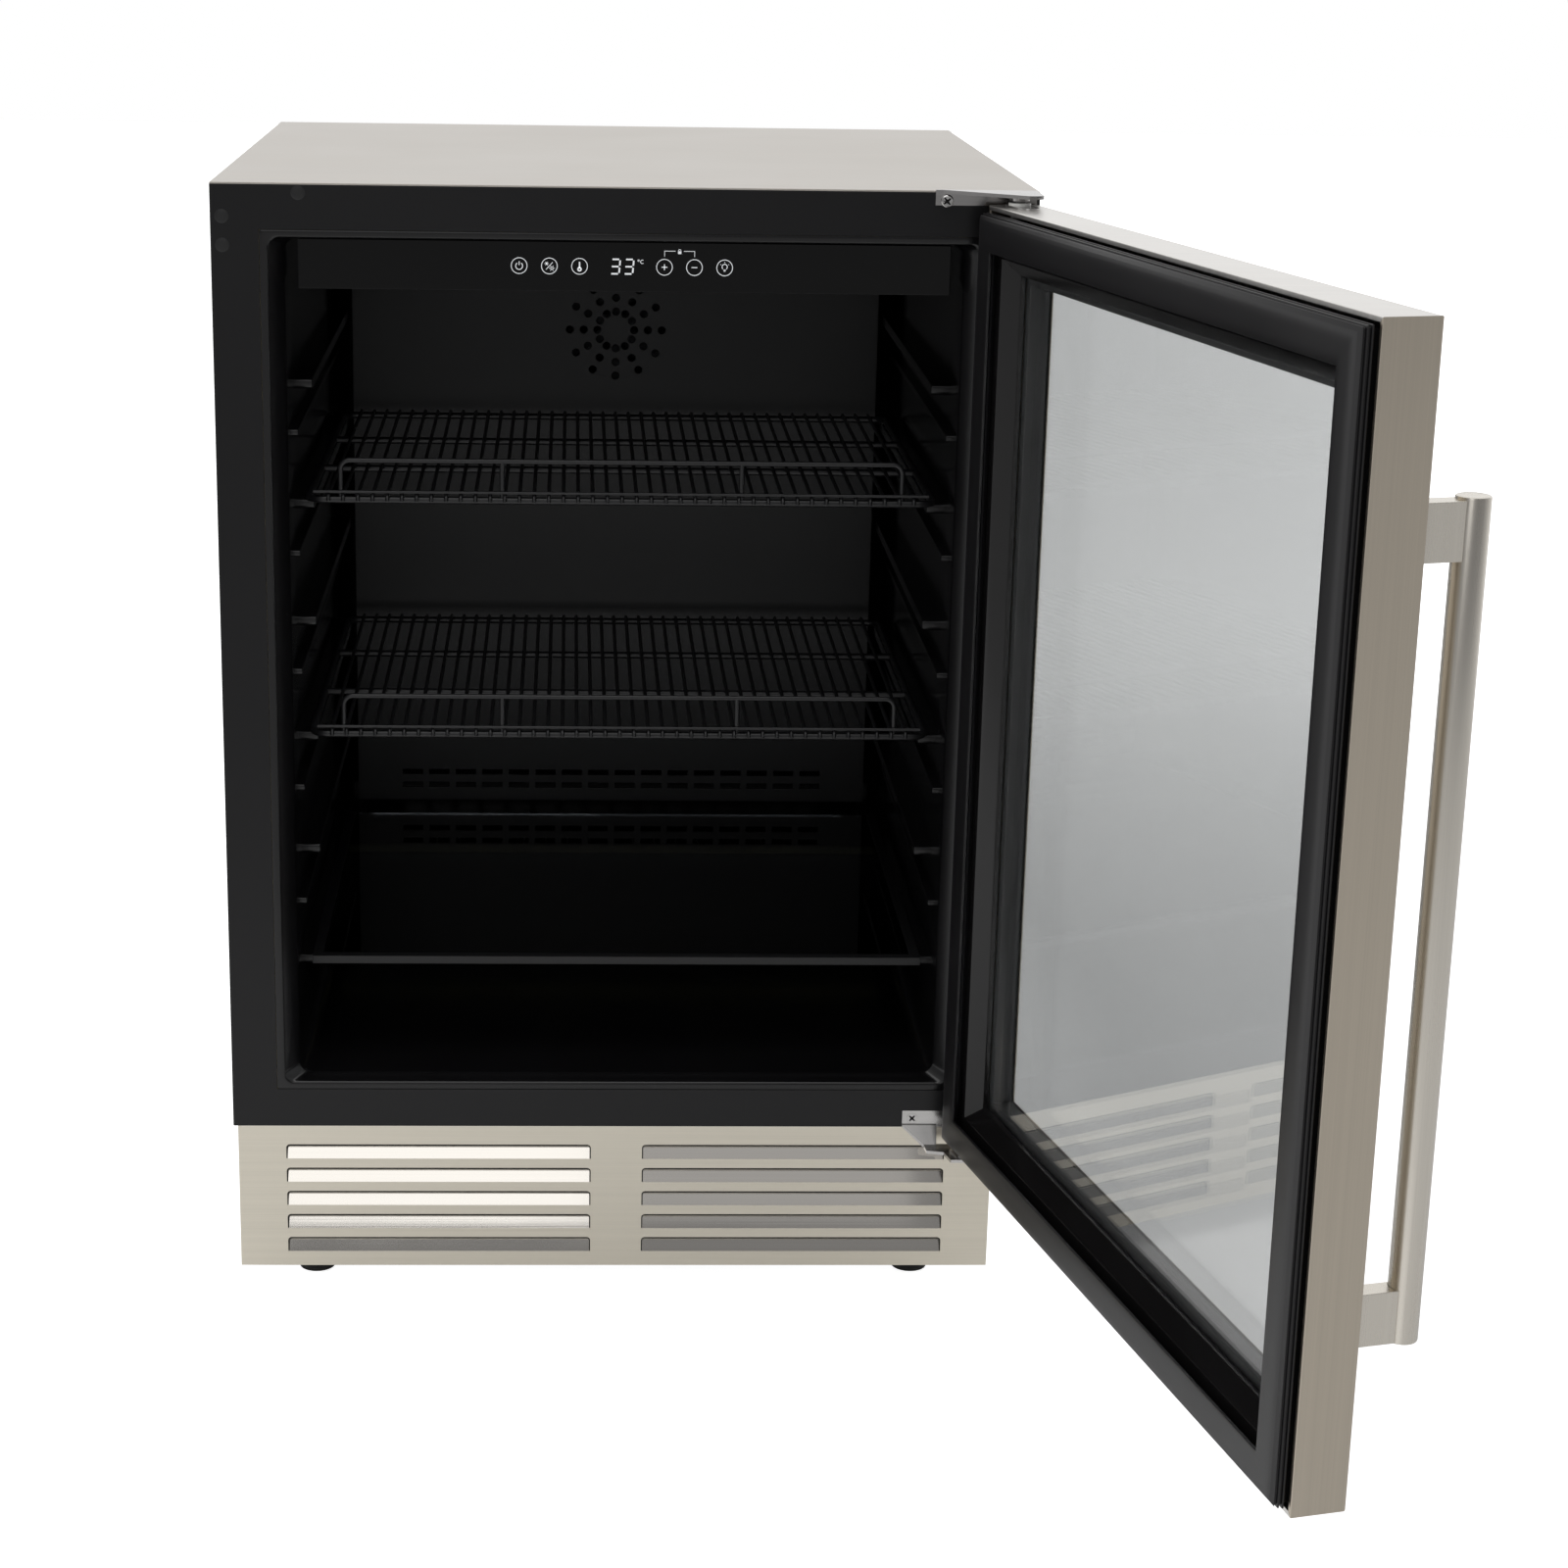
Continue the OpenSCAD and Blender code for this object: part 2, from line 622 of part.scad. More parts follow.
module pane(y, edge) {
    block([-hw + edge, y - pane_t, door_z0 + edge], [hw - edge, y, door_z1 - edge]);
}

module glass_inner() color("lightblue", 0.35) swung() pane(inner_pane_y, 41);
module glass_outer() color("lightblue", 0.35) swung() pane(outer_pane_y + pane_t, 42);

module glass_spacer() color("#6d6e70") swung() ring()
    translate([door_frame_w - 9, outer_pane_y + pane_t])
        square([8, inner_pane_y - 2 * pane_t - outer_pane_y]);

module handle_bar() color(steel) swung()
    translate([handle_x, handle_y, door_mid - handle_l / 2]) cylinder(r = handle_r, h = handle_l);

module handle_posts() color(steel) swung() difference() {
    for (z = post_z)
        block([handle_x - post_w / 2, handle_y, z - post_h / 2], [handle_x + post_w / 2, face_y, z + post_h / 2]);
    translate([handle_x, handle_y, 0]) cylinder(r = handle_r, h = cabinet_h);
    for (z = post_z) along_y([handle_x, z], 2.5, face_y - 14, face_y + 1);
}

module handle_screws() color(zinc) swung() for (z = post_z) {
    along_y([handle_x, z], 2.5, face_y - 14, face_y + skin);
    along_y([handle_x, z], 4.5, face_y + skin, face_y + skin + 3);
}

// A flat plate on the door's end, with the bush's flange standing through it
module hinge_plate(z, t) {
    difference() {
        translate([0, 0, z]) linear_extrude(t) {
            translate([262, hinge_y - 8]) square([hinge_x - 262 + 6, 16]);
            translate([hinge_x + 6, hinge_y]) circle(r = 8);
            translate([262, hinge_y]) circle(r = 8);
        }
        bush_hole(6);
    }
}

module door_hinge_plates() color(zinc) swung() {
    hinge_plate(door_z1, 1.5);
    hinge_plate(door_z0 - 1.4, 1.4);
}

module door_hinge_bushes() color("#e9e9e4") swung() translate([hinge_x, hinge_y, 0]) {
    difference() {
        union() {
            translate([0, 0, door_z1 - 18]) cylinder(r = 6, h = 19.5);
            translate([0, 0, door_z1 + 1.5]) cylinder(r = 8, h = 1.8);
        }
        translate([0, 0, door_z1 - 17]) cylinder(r = pin_r + pin_clear, h = 30);
    }
    difference() {
        translate([0, 0, door_z0 - 1.4]) cylinder(r = 6, h = 23.4);
        translate([0, 0, door_z0 - 2]) cylinder(r = pin_r + pin_clear, h = 21.5);
    }
}

// ---- shelves ---------------------------------------------------------------------------------------

module wire_shelf(z) {
    x = shelf_w / 2 - rod_r;
    y0 = shelf_front + rod_r;
    y1 = shelf_front + shelf_d - rod_r;
    under = z - wire_r - rod_r + 0.6;
    for (y = [y0, y0 + 130, y0 + 260, y1]) rod([-x, y, under], [x, y, under], rod_r);
    for (s = [-1, 1]) rod([s * x, y0, under], [s * x, y1, under], rod_r);
    count = floor((x - 4) / wire_pitch);
    for (i = [-count:count]) rod([i * wire_pitch, y0 - rod_r, z], [i * wire_pitch, y1 + rod_r, z], wire_r);
}

// The low rail along a shelf's front edge, welded to it
module wire_guard(z) {
    y0 = shelf_front + rod_r;
    gx = shelf_w / 2 - 25;
    gr = 2;
    rod([-gx, y0, z + guard_h - gr], [gx, y0, z + guard_h - gr], gr);
    for (s = [-1, 1], px = [gx - gr, 90])
        rod([s * px, y0, z + wire_r + 0.02], [s * px, y0, z + guard_h - gr], gr);
}

module shelf_upper() color(black) wire_shelf(shelf_z[0]);
module shelf_middle() color(black) wire_shelf(shelf_z[1]);
module shelf_upper_guard() color(black) wire_guard(shelf_z[0]);
module shelf_middle_guard() color(black) wire_guard(shelf_z[1]);

glass_z = shelf_z[2];
trim_h = 6.5;

module shelf_lower_glass() color("#3c3f42", 0.6)
    block([-shelf_w / 2 + 3, shelf_front + 3, glass_z - 5], [shelf_w / 2 - 3, shelf_front + shelf_d, glass_z - 1]);

// A clip-on edge along the front and a channel along each side of the glass
module shelf_lower_trim() color(black) difference() {
    union() {
        block([-shelf_w / 2, shelf_front, glass_z - trim_h], [shelf_w / 2, shelf_front + 9, glass_z]);
        for (s = [0, 1]) mirror([s, 0, 0])
            block([shelf_w / 2 - 8, shelf_front + 9, glass_z - trim_h], [shelf_w / 2, shelf_front + shelf_d, glass_z]);
    }
    block([-shelf_w / 2 + 3, shelf_front + 3, glass_z - 5], [shelf_w / 2 - 3, shelf_front + shelf_d + 1, glass_z - 1]);
}

// ---- feet ------------------------------------------------------------------------------------------

module foot_pad(p) color("#161616") translate([p[0], p[1], 0]) rotate_extrude()
    polygon([[0, 0], [foot_r, 0], [foot_r, 4], [foot_r - 2, 8], [stud_r + 3, 11], [stud_r + pin_clear, 11],
             [stud_r + pin_clear, 4], [0, 4]]);

module foot_stud(p) color(zinc) translate([p[0], p[1], 0]) {
    translate([0, 0, 4.1]) cylinder(r = stud_r, h = 38);
    translate([0, 0, 12]) cylinder(r = 8, h = 5, $fn = 6);
}

module foot_pad_front_left() foot_pad(feet[0]);
module foot_pad_front_right() foot_pad(feet[1]);
module foot_pad_rear_left() foot_pad(feet[2]);
module foot_pad_rear_right() foot_pad(feet[3]);
module foot_stud_front_left() foot_stud(feet[0]);
module foot_stud_front_right() foot_stud(feet[1]);
module foot_stud_rear_left() foot_stud(feet[2]);
module foot_stud_rear_right() foot_stud(feet[3]);

// ---- the assembly ----------------------------------------------------------------------------------

side_panel_left();
side_panel_right();
top_panel();
back_panel();
front_header();
front_sill();
insulation_foam();
inner_liner();
machine_deck();
base_pan();
kick_plate();
rear_cover();
hole_plugs();
top_hinge_bracket();
bottom_hinge_bracket();
hinge_screws();
touch_panel();
control_housing();
light_bar();
evaporator_cover();
evaporator_coil();
evaporator_fan_frame();
evaporator_fan();
condenser_coil();
condenser_fan_frame();
condenser_fan();
compressor();
compressor_grommets();
control_box();
drip_tray();
power_inlet();
door_stile_free();
door_stile_hinge();
door_rail_top();
door_rail_bottom();
door_inner_frame();
door_gasket();
gasket_magnet();
glass_outer();
glass_inner();
glass_spacer();
handle_bar();
handle_posts();
handle_screws();
door_hinge_plates();
door_hinge_bushes();
shelf_upper();
shelf_upper_guard();
shelf_middle();
shelf_middle_guard();
shelf_lower_glass();
shelf_lower_trim();
foot_pad_front_left();
foot_pad_front_right();
foot_pad_rear_left();
foot_pad_rear_right();
foot_stud_front_left();
foot_stud_front_right();
foot_stud_rear_left();
foot_stud_rear_right();
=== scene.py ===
import bpy
import json
import math
from mathutils import Matrix, Vector


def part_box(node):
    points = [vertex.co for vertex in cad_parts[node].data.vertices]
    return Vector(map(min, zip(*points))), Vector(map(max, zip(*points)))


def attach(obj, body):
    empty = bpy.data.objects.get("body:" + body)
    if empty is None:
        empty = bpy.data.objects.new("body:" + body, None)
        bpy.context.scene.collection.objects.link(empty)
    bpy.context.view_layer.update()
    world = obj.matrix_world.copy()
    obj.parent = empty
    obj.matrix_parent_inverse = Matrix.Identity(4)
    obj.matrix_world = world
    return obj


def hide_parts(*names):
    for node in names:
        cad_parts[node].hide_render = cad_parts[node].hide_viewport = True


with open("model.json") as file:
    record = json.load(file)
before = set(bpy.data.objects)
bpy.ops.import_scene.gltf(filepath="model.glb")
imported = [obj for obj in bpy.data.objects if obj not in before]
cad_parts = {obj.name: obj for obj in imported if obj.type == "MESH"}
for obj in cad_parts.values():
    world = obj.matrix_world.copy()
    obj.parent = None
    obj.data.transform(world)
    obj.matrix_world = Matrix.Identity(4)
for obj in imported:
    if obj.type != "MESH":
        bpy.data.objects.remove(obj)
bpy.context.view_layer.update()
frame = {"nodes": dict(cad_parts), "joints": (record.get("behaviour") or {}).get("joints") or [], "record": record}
SC = bpy.context.scene
NODES = frame["nodes"]
HINGE = next(j for j in frame["joints"] if j["name"] == "door_hinge")
OPEN = -math.radians(HINGE["range_deg"][0])          # the door stands open by this much at rest
HX, HY = HINGE["pos_m"][0], HINGE["pos_m"][1]
SWING = Matrix.Translation((HX, HY, 0)) @ Matrix.Rotation(OPEN, 4, "Z") @ Matrix.Translation((-HX, -HY, 0))
MM = 0.001


# ---------------------------------------------------------------- mesh helpers
def make(name, verts, faces, mat, body, smooth=30.0, bevel=0.0, seg=2, slot=None):
    me = bpy.data.meshes.new(name)
    me.from_pydata([tuple(v) for v in verts], [], faces)
    me.validate()
    me.update()
    o = bpy.data.objects.new(name, me)
    SC.collection.objects.link(o)
    me.materials.append(mat)
    if smooth:
        for p in me.polygons:
            p.use_smooth = True
        me.set_sharp_from_angle(angle=math.radians(smooth))
    if bevel:
        m = o.modifiers.new("edge", "BEVEL")
        m.width = bevel
        m.segments = seg
        m.limit_method = "ANGLE"
        m.angle_limit = math.radians(30)
        m.harden_normals = True
    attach(o, body)
    return o


def join(name, parts, mat, body, **kw):
    vs, fs = [], []
    for v, f in parts:
        k = len(vs)
        vs += list(v)
        fs += [tuple(i + k for i in q) for q in f]
    return make(name, vs, fs, mat, body, **kw)


def swung(part):
    return [SWING @ Vector(v) for v in part[0]], part[1]


def boxy(lo, hi):
    x0, y0, z0 = lo
    x1, y1, z1 = hi
    v = [(x0, y0, z0), (x1, y0, z0), (x1, y1, z0), (x0, y1, z0),
         (x0, y0, z1), (x1, y0, z1), (x1, y1, z1), (x0, y1, z1)]
    f = [(3, 2, 1, 0), (4, 5, 6, 7), (0, 1, 5, 4), (1, 2, 6, 5), (2, 3, 7, 6), (3, 0, 4, 7)]
    return v, f


def tube(pts, r, n=12, closed=False):
    """A round wire along a polyline, its cross-section carried without twist."""
    pts = [Vector(p) for p in pts]
    m = len(pts)
    verts, faces = [], []
    up = None
    for i, p in enumerate(pts):
        if closed:
            a, b = pts[i - 1], pts[(i + 1) % m]
            t = ((p - a).normalized() + (b - p).normalized()).normalized()
            h = (b - p).normalized()
        else:
            a = pts[max(i - 1, 0)]
            b = pts[min(i + 1, m - 1)]
            d0 = (p - a).normalized() if i else (b - p).normalized()
            d1 = (b - p).normalized() if i < m - 1 else d0
            t = (d0 + d1).normalized()
            h = d1
        if up is None:
            up = t.orthogonal().normalized()
        up = (up - t * up.dot(t)).normalized()
        side = t.cross(up)
        k = 1.0 / max(0.5, t.dot(h))
        for j in range(n):
            a2 = 2 * math.pi * j / n
            verts.append(p + (up * math.cos(a2) + side * math.sin(a2)) * r * (k if k < 1.05 else 1.0))
    rings = m if closed else m - 1
    for i in range(rings):
        for j in range(n):
            a = i * n + j
            b = i * n + (j + 1) % n
            c = ((i + 1) % m) * n + (j + 1) % n
            d = ((i + 1) % m) * n + j
            faces.append((a, b, c, d))
    if not closed:
        faces.append(tuple(reversed(range(n))))
        faces.append(tuple(range((m - 1) * n, m * n)))
    return verts, faces


def arc(c, r, a0, a1, n, plane="xz"):
    out = []
    for i in range(n + 1):
        a = math.radians(a0 + (a1 - a0) * i / n)
        u, w = r * math.cos(a), r * math.sin(a)
        if plane == "xz":
            out.append((c[0] + u, c[1], c[2] + w))
        elif plane == "yz":
            out.append((c[0], c[1] + u, c[2] + w))
        else:
            out.append((c[0] + u, c[1] + w, c[2]))
    return out


def lathe(profile, at, axis="z", n=48):
    """Turns (radius, height) points about an axis through at."""
    v, f = [], []
    k = len(profile)
    for j in range(n):
        a = 2 * math.pi * j / n
        for r, h in profile:
            x, y = r * math.cos(a), r * math.sin(a)
            if axis == "z":
                p = (x, y, h)
            elif axis == "-y":
                p = (x, -h, y)
            else:
                p = (h, x, y)
            v.append((p[0] + at[0], p[1] + at[1], p[2] + at[2]))
    for j in range(n):
        for i in range(k - 1):
            a, b = j * k + i, ((j + 1) % n) * k + i
            q = (a, b, b + 1, a + 1)
            f.append(q if axis == "z" else tuple(q))
    return v, f


def ring_sweep(profile, half_w, z0, z1, corner=0.0, steps=6, closed=True):
    """Sweeps (u, y) points round the door's rectangle, u being the distance inwards from its edge.
    The corners are mitred, or rounded where corner is more than u."""
    v, f = [], []
    rings = []
    if corner:
        stations = []
        for cx, cz, a0 in ((1, 1, 0), (-1, 1, 90), (-1, -1, 180), (1, -1, 270)):
            for s in range(steps + 1):
                stations.append((cx, cz, math.radians(a0 + 90 * s / steps)))
    else:
        stations = [(1, 1, None), (-1, 1, None), (-1, -1, None), (1, -1, None)]
    for cx, cz, a in stations:
        ring = []
        for u, y in profile:
            if a is None:
                x = cx * (half_w - u)
                z = (z1 - u) if cz > 0 else (z0 + u)
            else:
                r = corner - u
                x = cx * (half_w - corner) + r * math.cos(a)
                z = (z1 - corner if cz > 0 else z0 + corner) + r * math.sin(a)
            ring.append(len(v))
            v.append((x, y, z))
        rings.append(ring)
    m, k = len(rings), len(profile)
    for i in range(m):
        a, b = rings[i], rings[(i + 1) % m]
        for j in range(k if closed else k - 1):
            j2 = (j + 1) % k
            f.append((a[j], a[j2], b[j2], b[j]))
    return v, f


def bar_of_ring(profile, half_w, z0, z1, side, gap=0.00012):
    """One mitred side of that ring, closed at both mitres."""
    n = len(profile)
    ends = {"left": ((-1, -1), (-1, 1)), "right": ((1, 1), (1, -1)),
            "top": ((-1, 1), (1, 1)), "bottom": ((1, -1), (-1, -1))}[side]
    v = []
    for i, (cx, cz) in enumerate(ends):
        for u, y in profile:
            x = cx * (half_w - u)
            z = (z1 - u) if cz > 0 else (z0 + u)
            if side in ("left", "right"):
                z += gap * (-cz)
            else:
                x += gap * (-cx)
            v.append((x, y, z))
    f = [tuple(range(n)), tuple(reversed(range(n, 2 * n)))]
    for j in range(n):
        j2 = (j + 1) % n
        f.append((j2, j, n + j, n + j2))
    return v, f


def fix_normals(o):
    import bmesh
    bm = bmesh.new()
    bm.from_mesh(o.data)
    bmesh.ops.recalc_face_normals(bm, faces=bm.faces)
    bm.to_mesh(o.data)
    bm.free()
    o.data.update()
    return o


def rounded(points, r, n=4):
    """Rounds each corner of a closed polygon by up to r, or by the radius that a point carries third."""
    out = []
    m = len(points)
    for i, p in enumerate(points):
        rr = p[2] if len(p) > 2 else r
        a, b, c = Vector(points[i - 1][:2]), Vector(p[:2]), Vector(points[(i + 1) % m][:2])
        d0, d1 = a - b, c - b
        l0, l1 = d0.length, d1.length
        if rr <= 0 or l0 < 1e-9 or l1 < 1e-9:
            out.append(tuple(b))
            continue
        d0, d1 = d0 / l0, d1 / l1
        ang = math.acos(max(-1, min(1, d0.dot(d1))))
        if ang > math.radians(176) or ang < math.radians(4):
            out.append(tuple(b))
            continue
        t = min(rr / math.tan(ang / 2), l0 * 0.48, l1 * 0.48)
        rad = t * math.tan(ang / 2)
        p0, p1 = b + d0 * t, b + d1 * t
        centre = b + (d0 + d1).normalized() * (rad / math.sin(ang / 2))
        a0 = math.atan2(*(p0 - centre).yx)
        a1 = math.atan2(*(p1 - centre).yx)
        da = (a1 - a0 + math.pi) % (2 * math.pi) - math.pi
        for s in range(n + 1):
            a2 = a0 + da * s / n
            out.append((centre.x + rad * math.cos(a2), centre.y + rad * math.sin(a2)))
    return out


def extrude_xy(poly, z0, z1):
    n = len(poly)
    v = [(x, y, z0) for x, y in poly] + [(x, y, z1) for x, y in poly]
    f = [tuple(reversed(range(n))), tuple(range(n, 2 * n))]
    for i in range(n):
        j = (i + 1) % n
        f.append((i, j, n + j, n + i))
    return v, f


def extrude_xz(poly, y0, y1):
    n = len(poly)
    v = [(x, y0, z) for x, z in poly] + [(x, y1, z) for x, z in poly]
    f = [tuple(range(n)), tuple(reversed(range(n, 2 * n)))]
    for i in range(n):
        j = (i + 1) % n
        f.append((j, i, n + i, n + j))
    return v, f


# ---------------------------------------------------------------- materials
def material(name):
    m = bpy.data.materials.new(name)
    m.use_nodes = True
    nt = m.node_tree
    b = nt.nodes.get("Principled BSDF")
    return m, nt, b


def node(nt, kind, **kw):
    n = nt.nodes.new(kind)
    for k, v in kw.items():
        if k in n.inputs:
            n.inputs[k].default_value = v
        else:
            setattr(n, k, v)
    return n


def coords(nt, scale=(1, 1, 1), rot=(0, 0, 0)):
    tc = node(nt, "ShaderNodeTexCoord")
    mp = node(nt, "ShaderNodeMapping")
    mp.inputs["Scale"].default_value = scale
    mp.inputs["Rotation"].default_value = rot
    nt.links.new(tc.outputs["Object"], mp.inputs["Vector"])
    return mp.outputs["Vector"]


def ramp(nt, src, stops):
    r = node(nt, "ShaderNodeValToRGB")
    e = r.color_ramp.elements
    e[0].position, e[0].color = stops[0][0], (*stops[0][1], 1)
    e[1].position, e[1].color = stops[-1][0], (*stops[-1][1], 1)
    for pos, col in stops[1:-1]:
        n = e.new(pos)
        n.color = (*col, 1)
    nt.links.new(src, r.inputs["Fac"])
    return r.outputs["Color"]


def span(nt, src, lo, hi):
    r = node(nt, "ShaderNodeMapRange")
    r.inputs["To Min"].default_value = lo
    r.inputs["To Max"].default_value = hi
    nt.links.new(src, r.inputs["Value"])
    return r.outputs["Result"]


def steel_mat(name, colour, rough=(0.24, 0.36), grain="z", metallic=1.0, depth=0.12, spread=0.06, aniso=0.0,
              turn=0.0):
    """Brushed stainless: fine streaks along the grain in colour, roughness and bump."""
    m, nt, b = material(name)
    along, across = 5.0, 1400.0
    sc = {"x": (along, across, across), "y": (across, along, across), "z": (across, across, along)}[grain]
    v = coords(nt, sc, (0, 0, turn))
    fine = node(nt, "ShaderNodeTexNoise", Scale=1.0, Detail=3.0, Roughness=0.6)
    nt.links.new(v, fine.inputs["Vector"])
    v2 = coords(nt, tuple(s * 0.12 for s in sc), (0, 0, turn))
    wide = node(nt, "ShaderNodeTexNoise", Scale=1.0, Detail=2.0)
    nt.links.new(v2, wide.inputs["Vector"])
    v3 = coords(nt, (7, 7, 7))
    cloud = node(nt, "ShaderNodeTexNoise", Scale=1.0, Detail=2.0)
    nt.links.new(v3, cloud.inputs["Vector"])
    mix = node(nt, "ShaderNodeMath", operation="ADD")
    nt.links.new(fine.outputs["Fac"], mix.inputs[0])
    nt.links.new(wide.outputs["Fac"], mix.inputs[1])
    half = node(nt, "ShaderNodeMath", operation="MULTIPLY")
    half.inputs[1].default_value = 0.5
    nt.links.new(mix.outputs[0], half.inputs[0])
    lo = tuple(c * (1 - spread) for c in colour)
    hi = tuple(min(1, c * (1 + spread)) for c in colour)
    nt.links.new(ramp(nt, half.outputs[0], [(0.3, lo), (0.7, hi)]), b.inputs["Base Color"])
    rr = node(nt, "ShaderNodeMath", operation="ADD")
    nt.links.new(span(nt, half.outputs[0], rough[0] - 0.02, rough[1] - 0.02), rr.inputs[0])
    nt.links.new(span(nt, cloud.outputs["Fac"], -0.02, 0.06), rr.inputs[1])
    nt.links.new(rr.outputs[0], b.inputs["Roughness"])
    b.inputs["Metallic"].default_value = metallic
    bump = node(nt, "ShaderNodeBump", Strength=depth, Distance=0.0002)
    nt.links.new(half.outputs[0], bump.inputs["Height"])
    nt.links.new(bump.outputs["Normal"], b.inputs["Normal"])
    if aniso:
        b.inputs["Anisotropic"].default_value = aniso
    return m


def plastic_mat(name, colour, rough=0.35, grain=900.0, depth=0.05, spread=0.12, metallic=0.0, spec=0.5,
                coat=0.0, cloud=0.03):
    """A moulded or painted surface: a fine texture in bump, slight changes in colour and in gloss."""
    m, nt, b = material(name)
    fine = node(nt, "ShaderNodeTexNoise", Scale=grain, Detail=2.0)
    nt.links.new(coords(nt), fine.inputs["Vector"])
    wide = node(nt, "ShaderNodeTexNoise", Scale=9.0, Detail=3.0)
    nt.links.new(coords(nt), wide.inputs["Vector"])
    lo = tuple(c * (1 - spread) for c in colour)
    hi = tuple(c * (1 + spread) for c in colour)
    nt.links.new(ramp(nt, wide.outputs["Fac"], [(0.3, lo), (0.7, hi)]), b.inputs["Base Color"])
    nt.links.new(span(nt, wide.outputs["Fac"], rough - cloud, rough + cloud), b.inputs["Roughness"])
    b.inputs["Metallic"].default_value = metallic
    b.inputs["Specular IOR Level"].default_value = spec
    if coat:
        b.inputs["Coat Weight"].default_value = coat
        b.inputs["Coat Roughness"].default_value = 0.06
    if depth:
        bump = node(nt, "ShaderNodeBump", Strength=depth, Distance=0.0003)
        nt.links.new(fine.outputs["Fac"], bump.inputs["Height"])
        nt.links.new(bump.outputs["Normal"], b.inputs["Normal"])
    return m


def glass_mat(name, tint, ior=1.5, rough=0.0, smear=0.02):
    m, nt, b = material(name)
    wide = node(nt, "ShaderNodeTexNoise", Scale=5.0, Detail=3.0)
    nt.links.new(coords(nt), wide.inputs["Vector"])
    lo = tuple(c * 0.985 for c in tint)
    nt.links.new(ramp(nt, wide.outputs["Fac"], [(0.3, lo), (0.7, tint)]), b.inputs["Base Color"])
    nt.links.new(span(nt, wide.outputs["Fac"], rough, rough + smear), b.inputs["Roughness"])
    b.inputs["Transmission Weight"].default_value = 1.0
    b.inputs["IOR"].default_value = ior
    return m


def glow_mat(name, colour, strength):
    m, nt, b = material(name)
    wide = node(nt, "ShaderNodeTexNoise", Scale=60.0, Detail=1.0)
    nt.links.new(coords(nt), wide.inputs["Vector"])
    lo = tuple(c * 0.92 for c in colour)
    col = ramp(nt, wide.outputs["Fac"], [(0.3, lo), (0.7, colour)])
    nt.links.new(col, b.inputs["Base Color"])
    nt.links.new(col, b.inputs["Emission Color"])
    b.inputs["Emission Strength"].default_value = strength
    b.inputs["Roughness"].default_value = 0.4
    return m


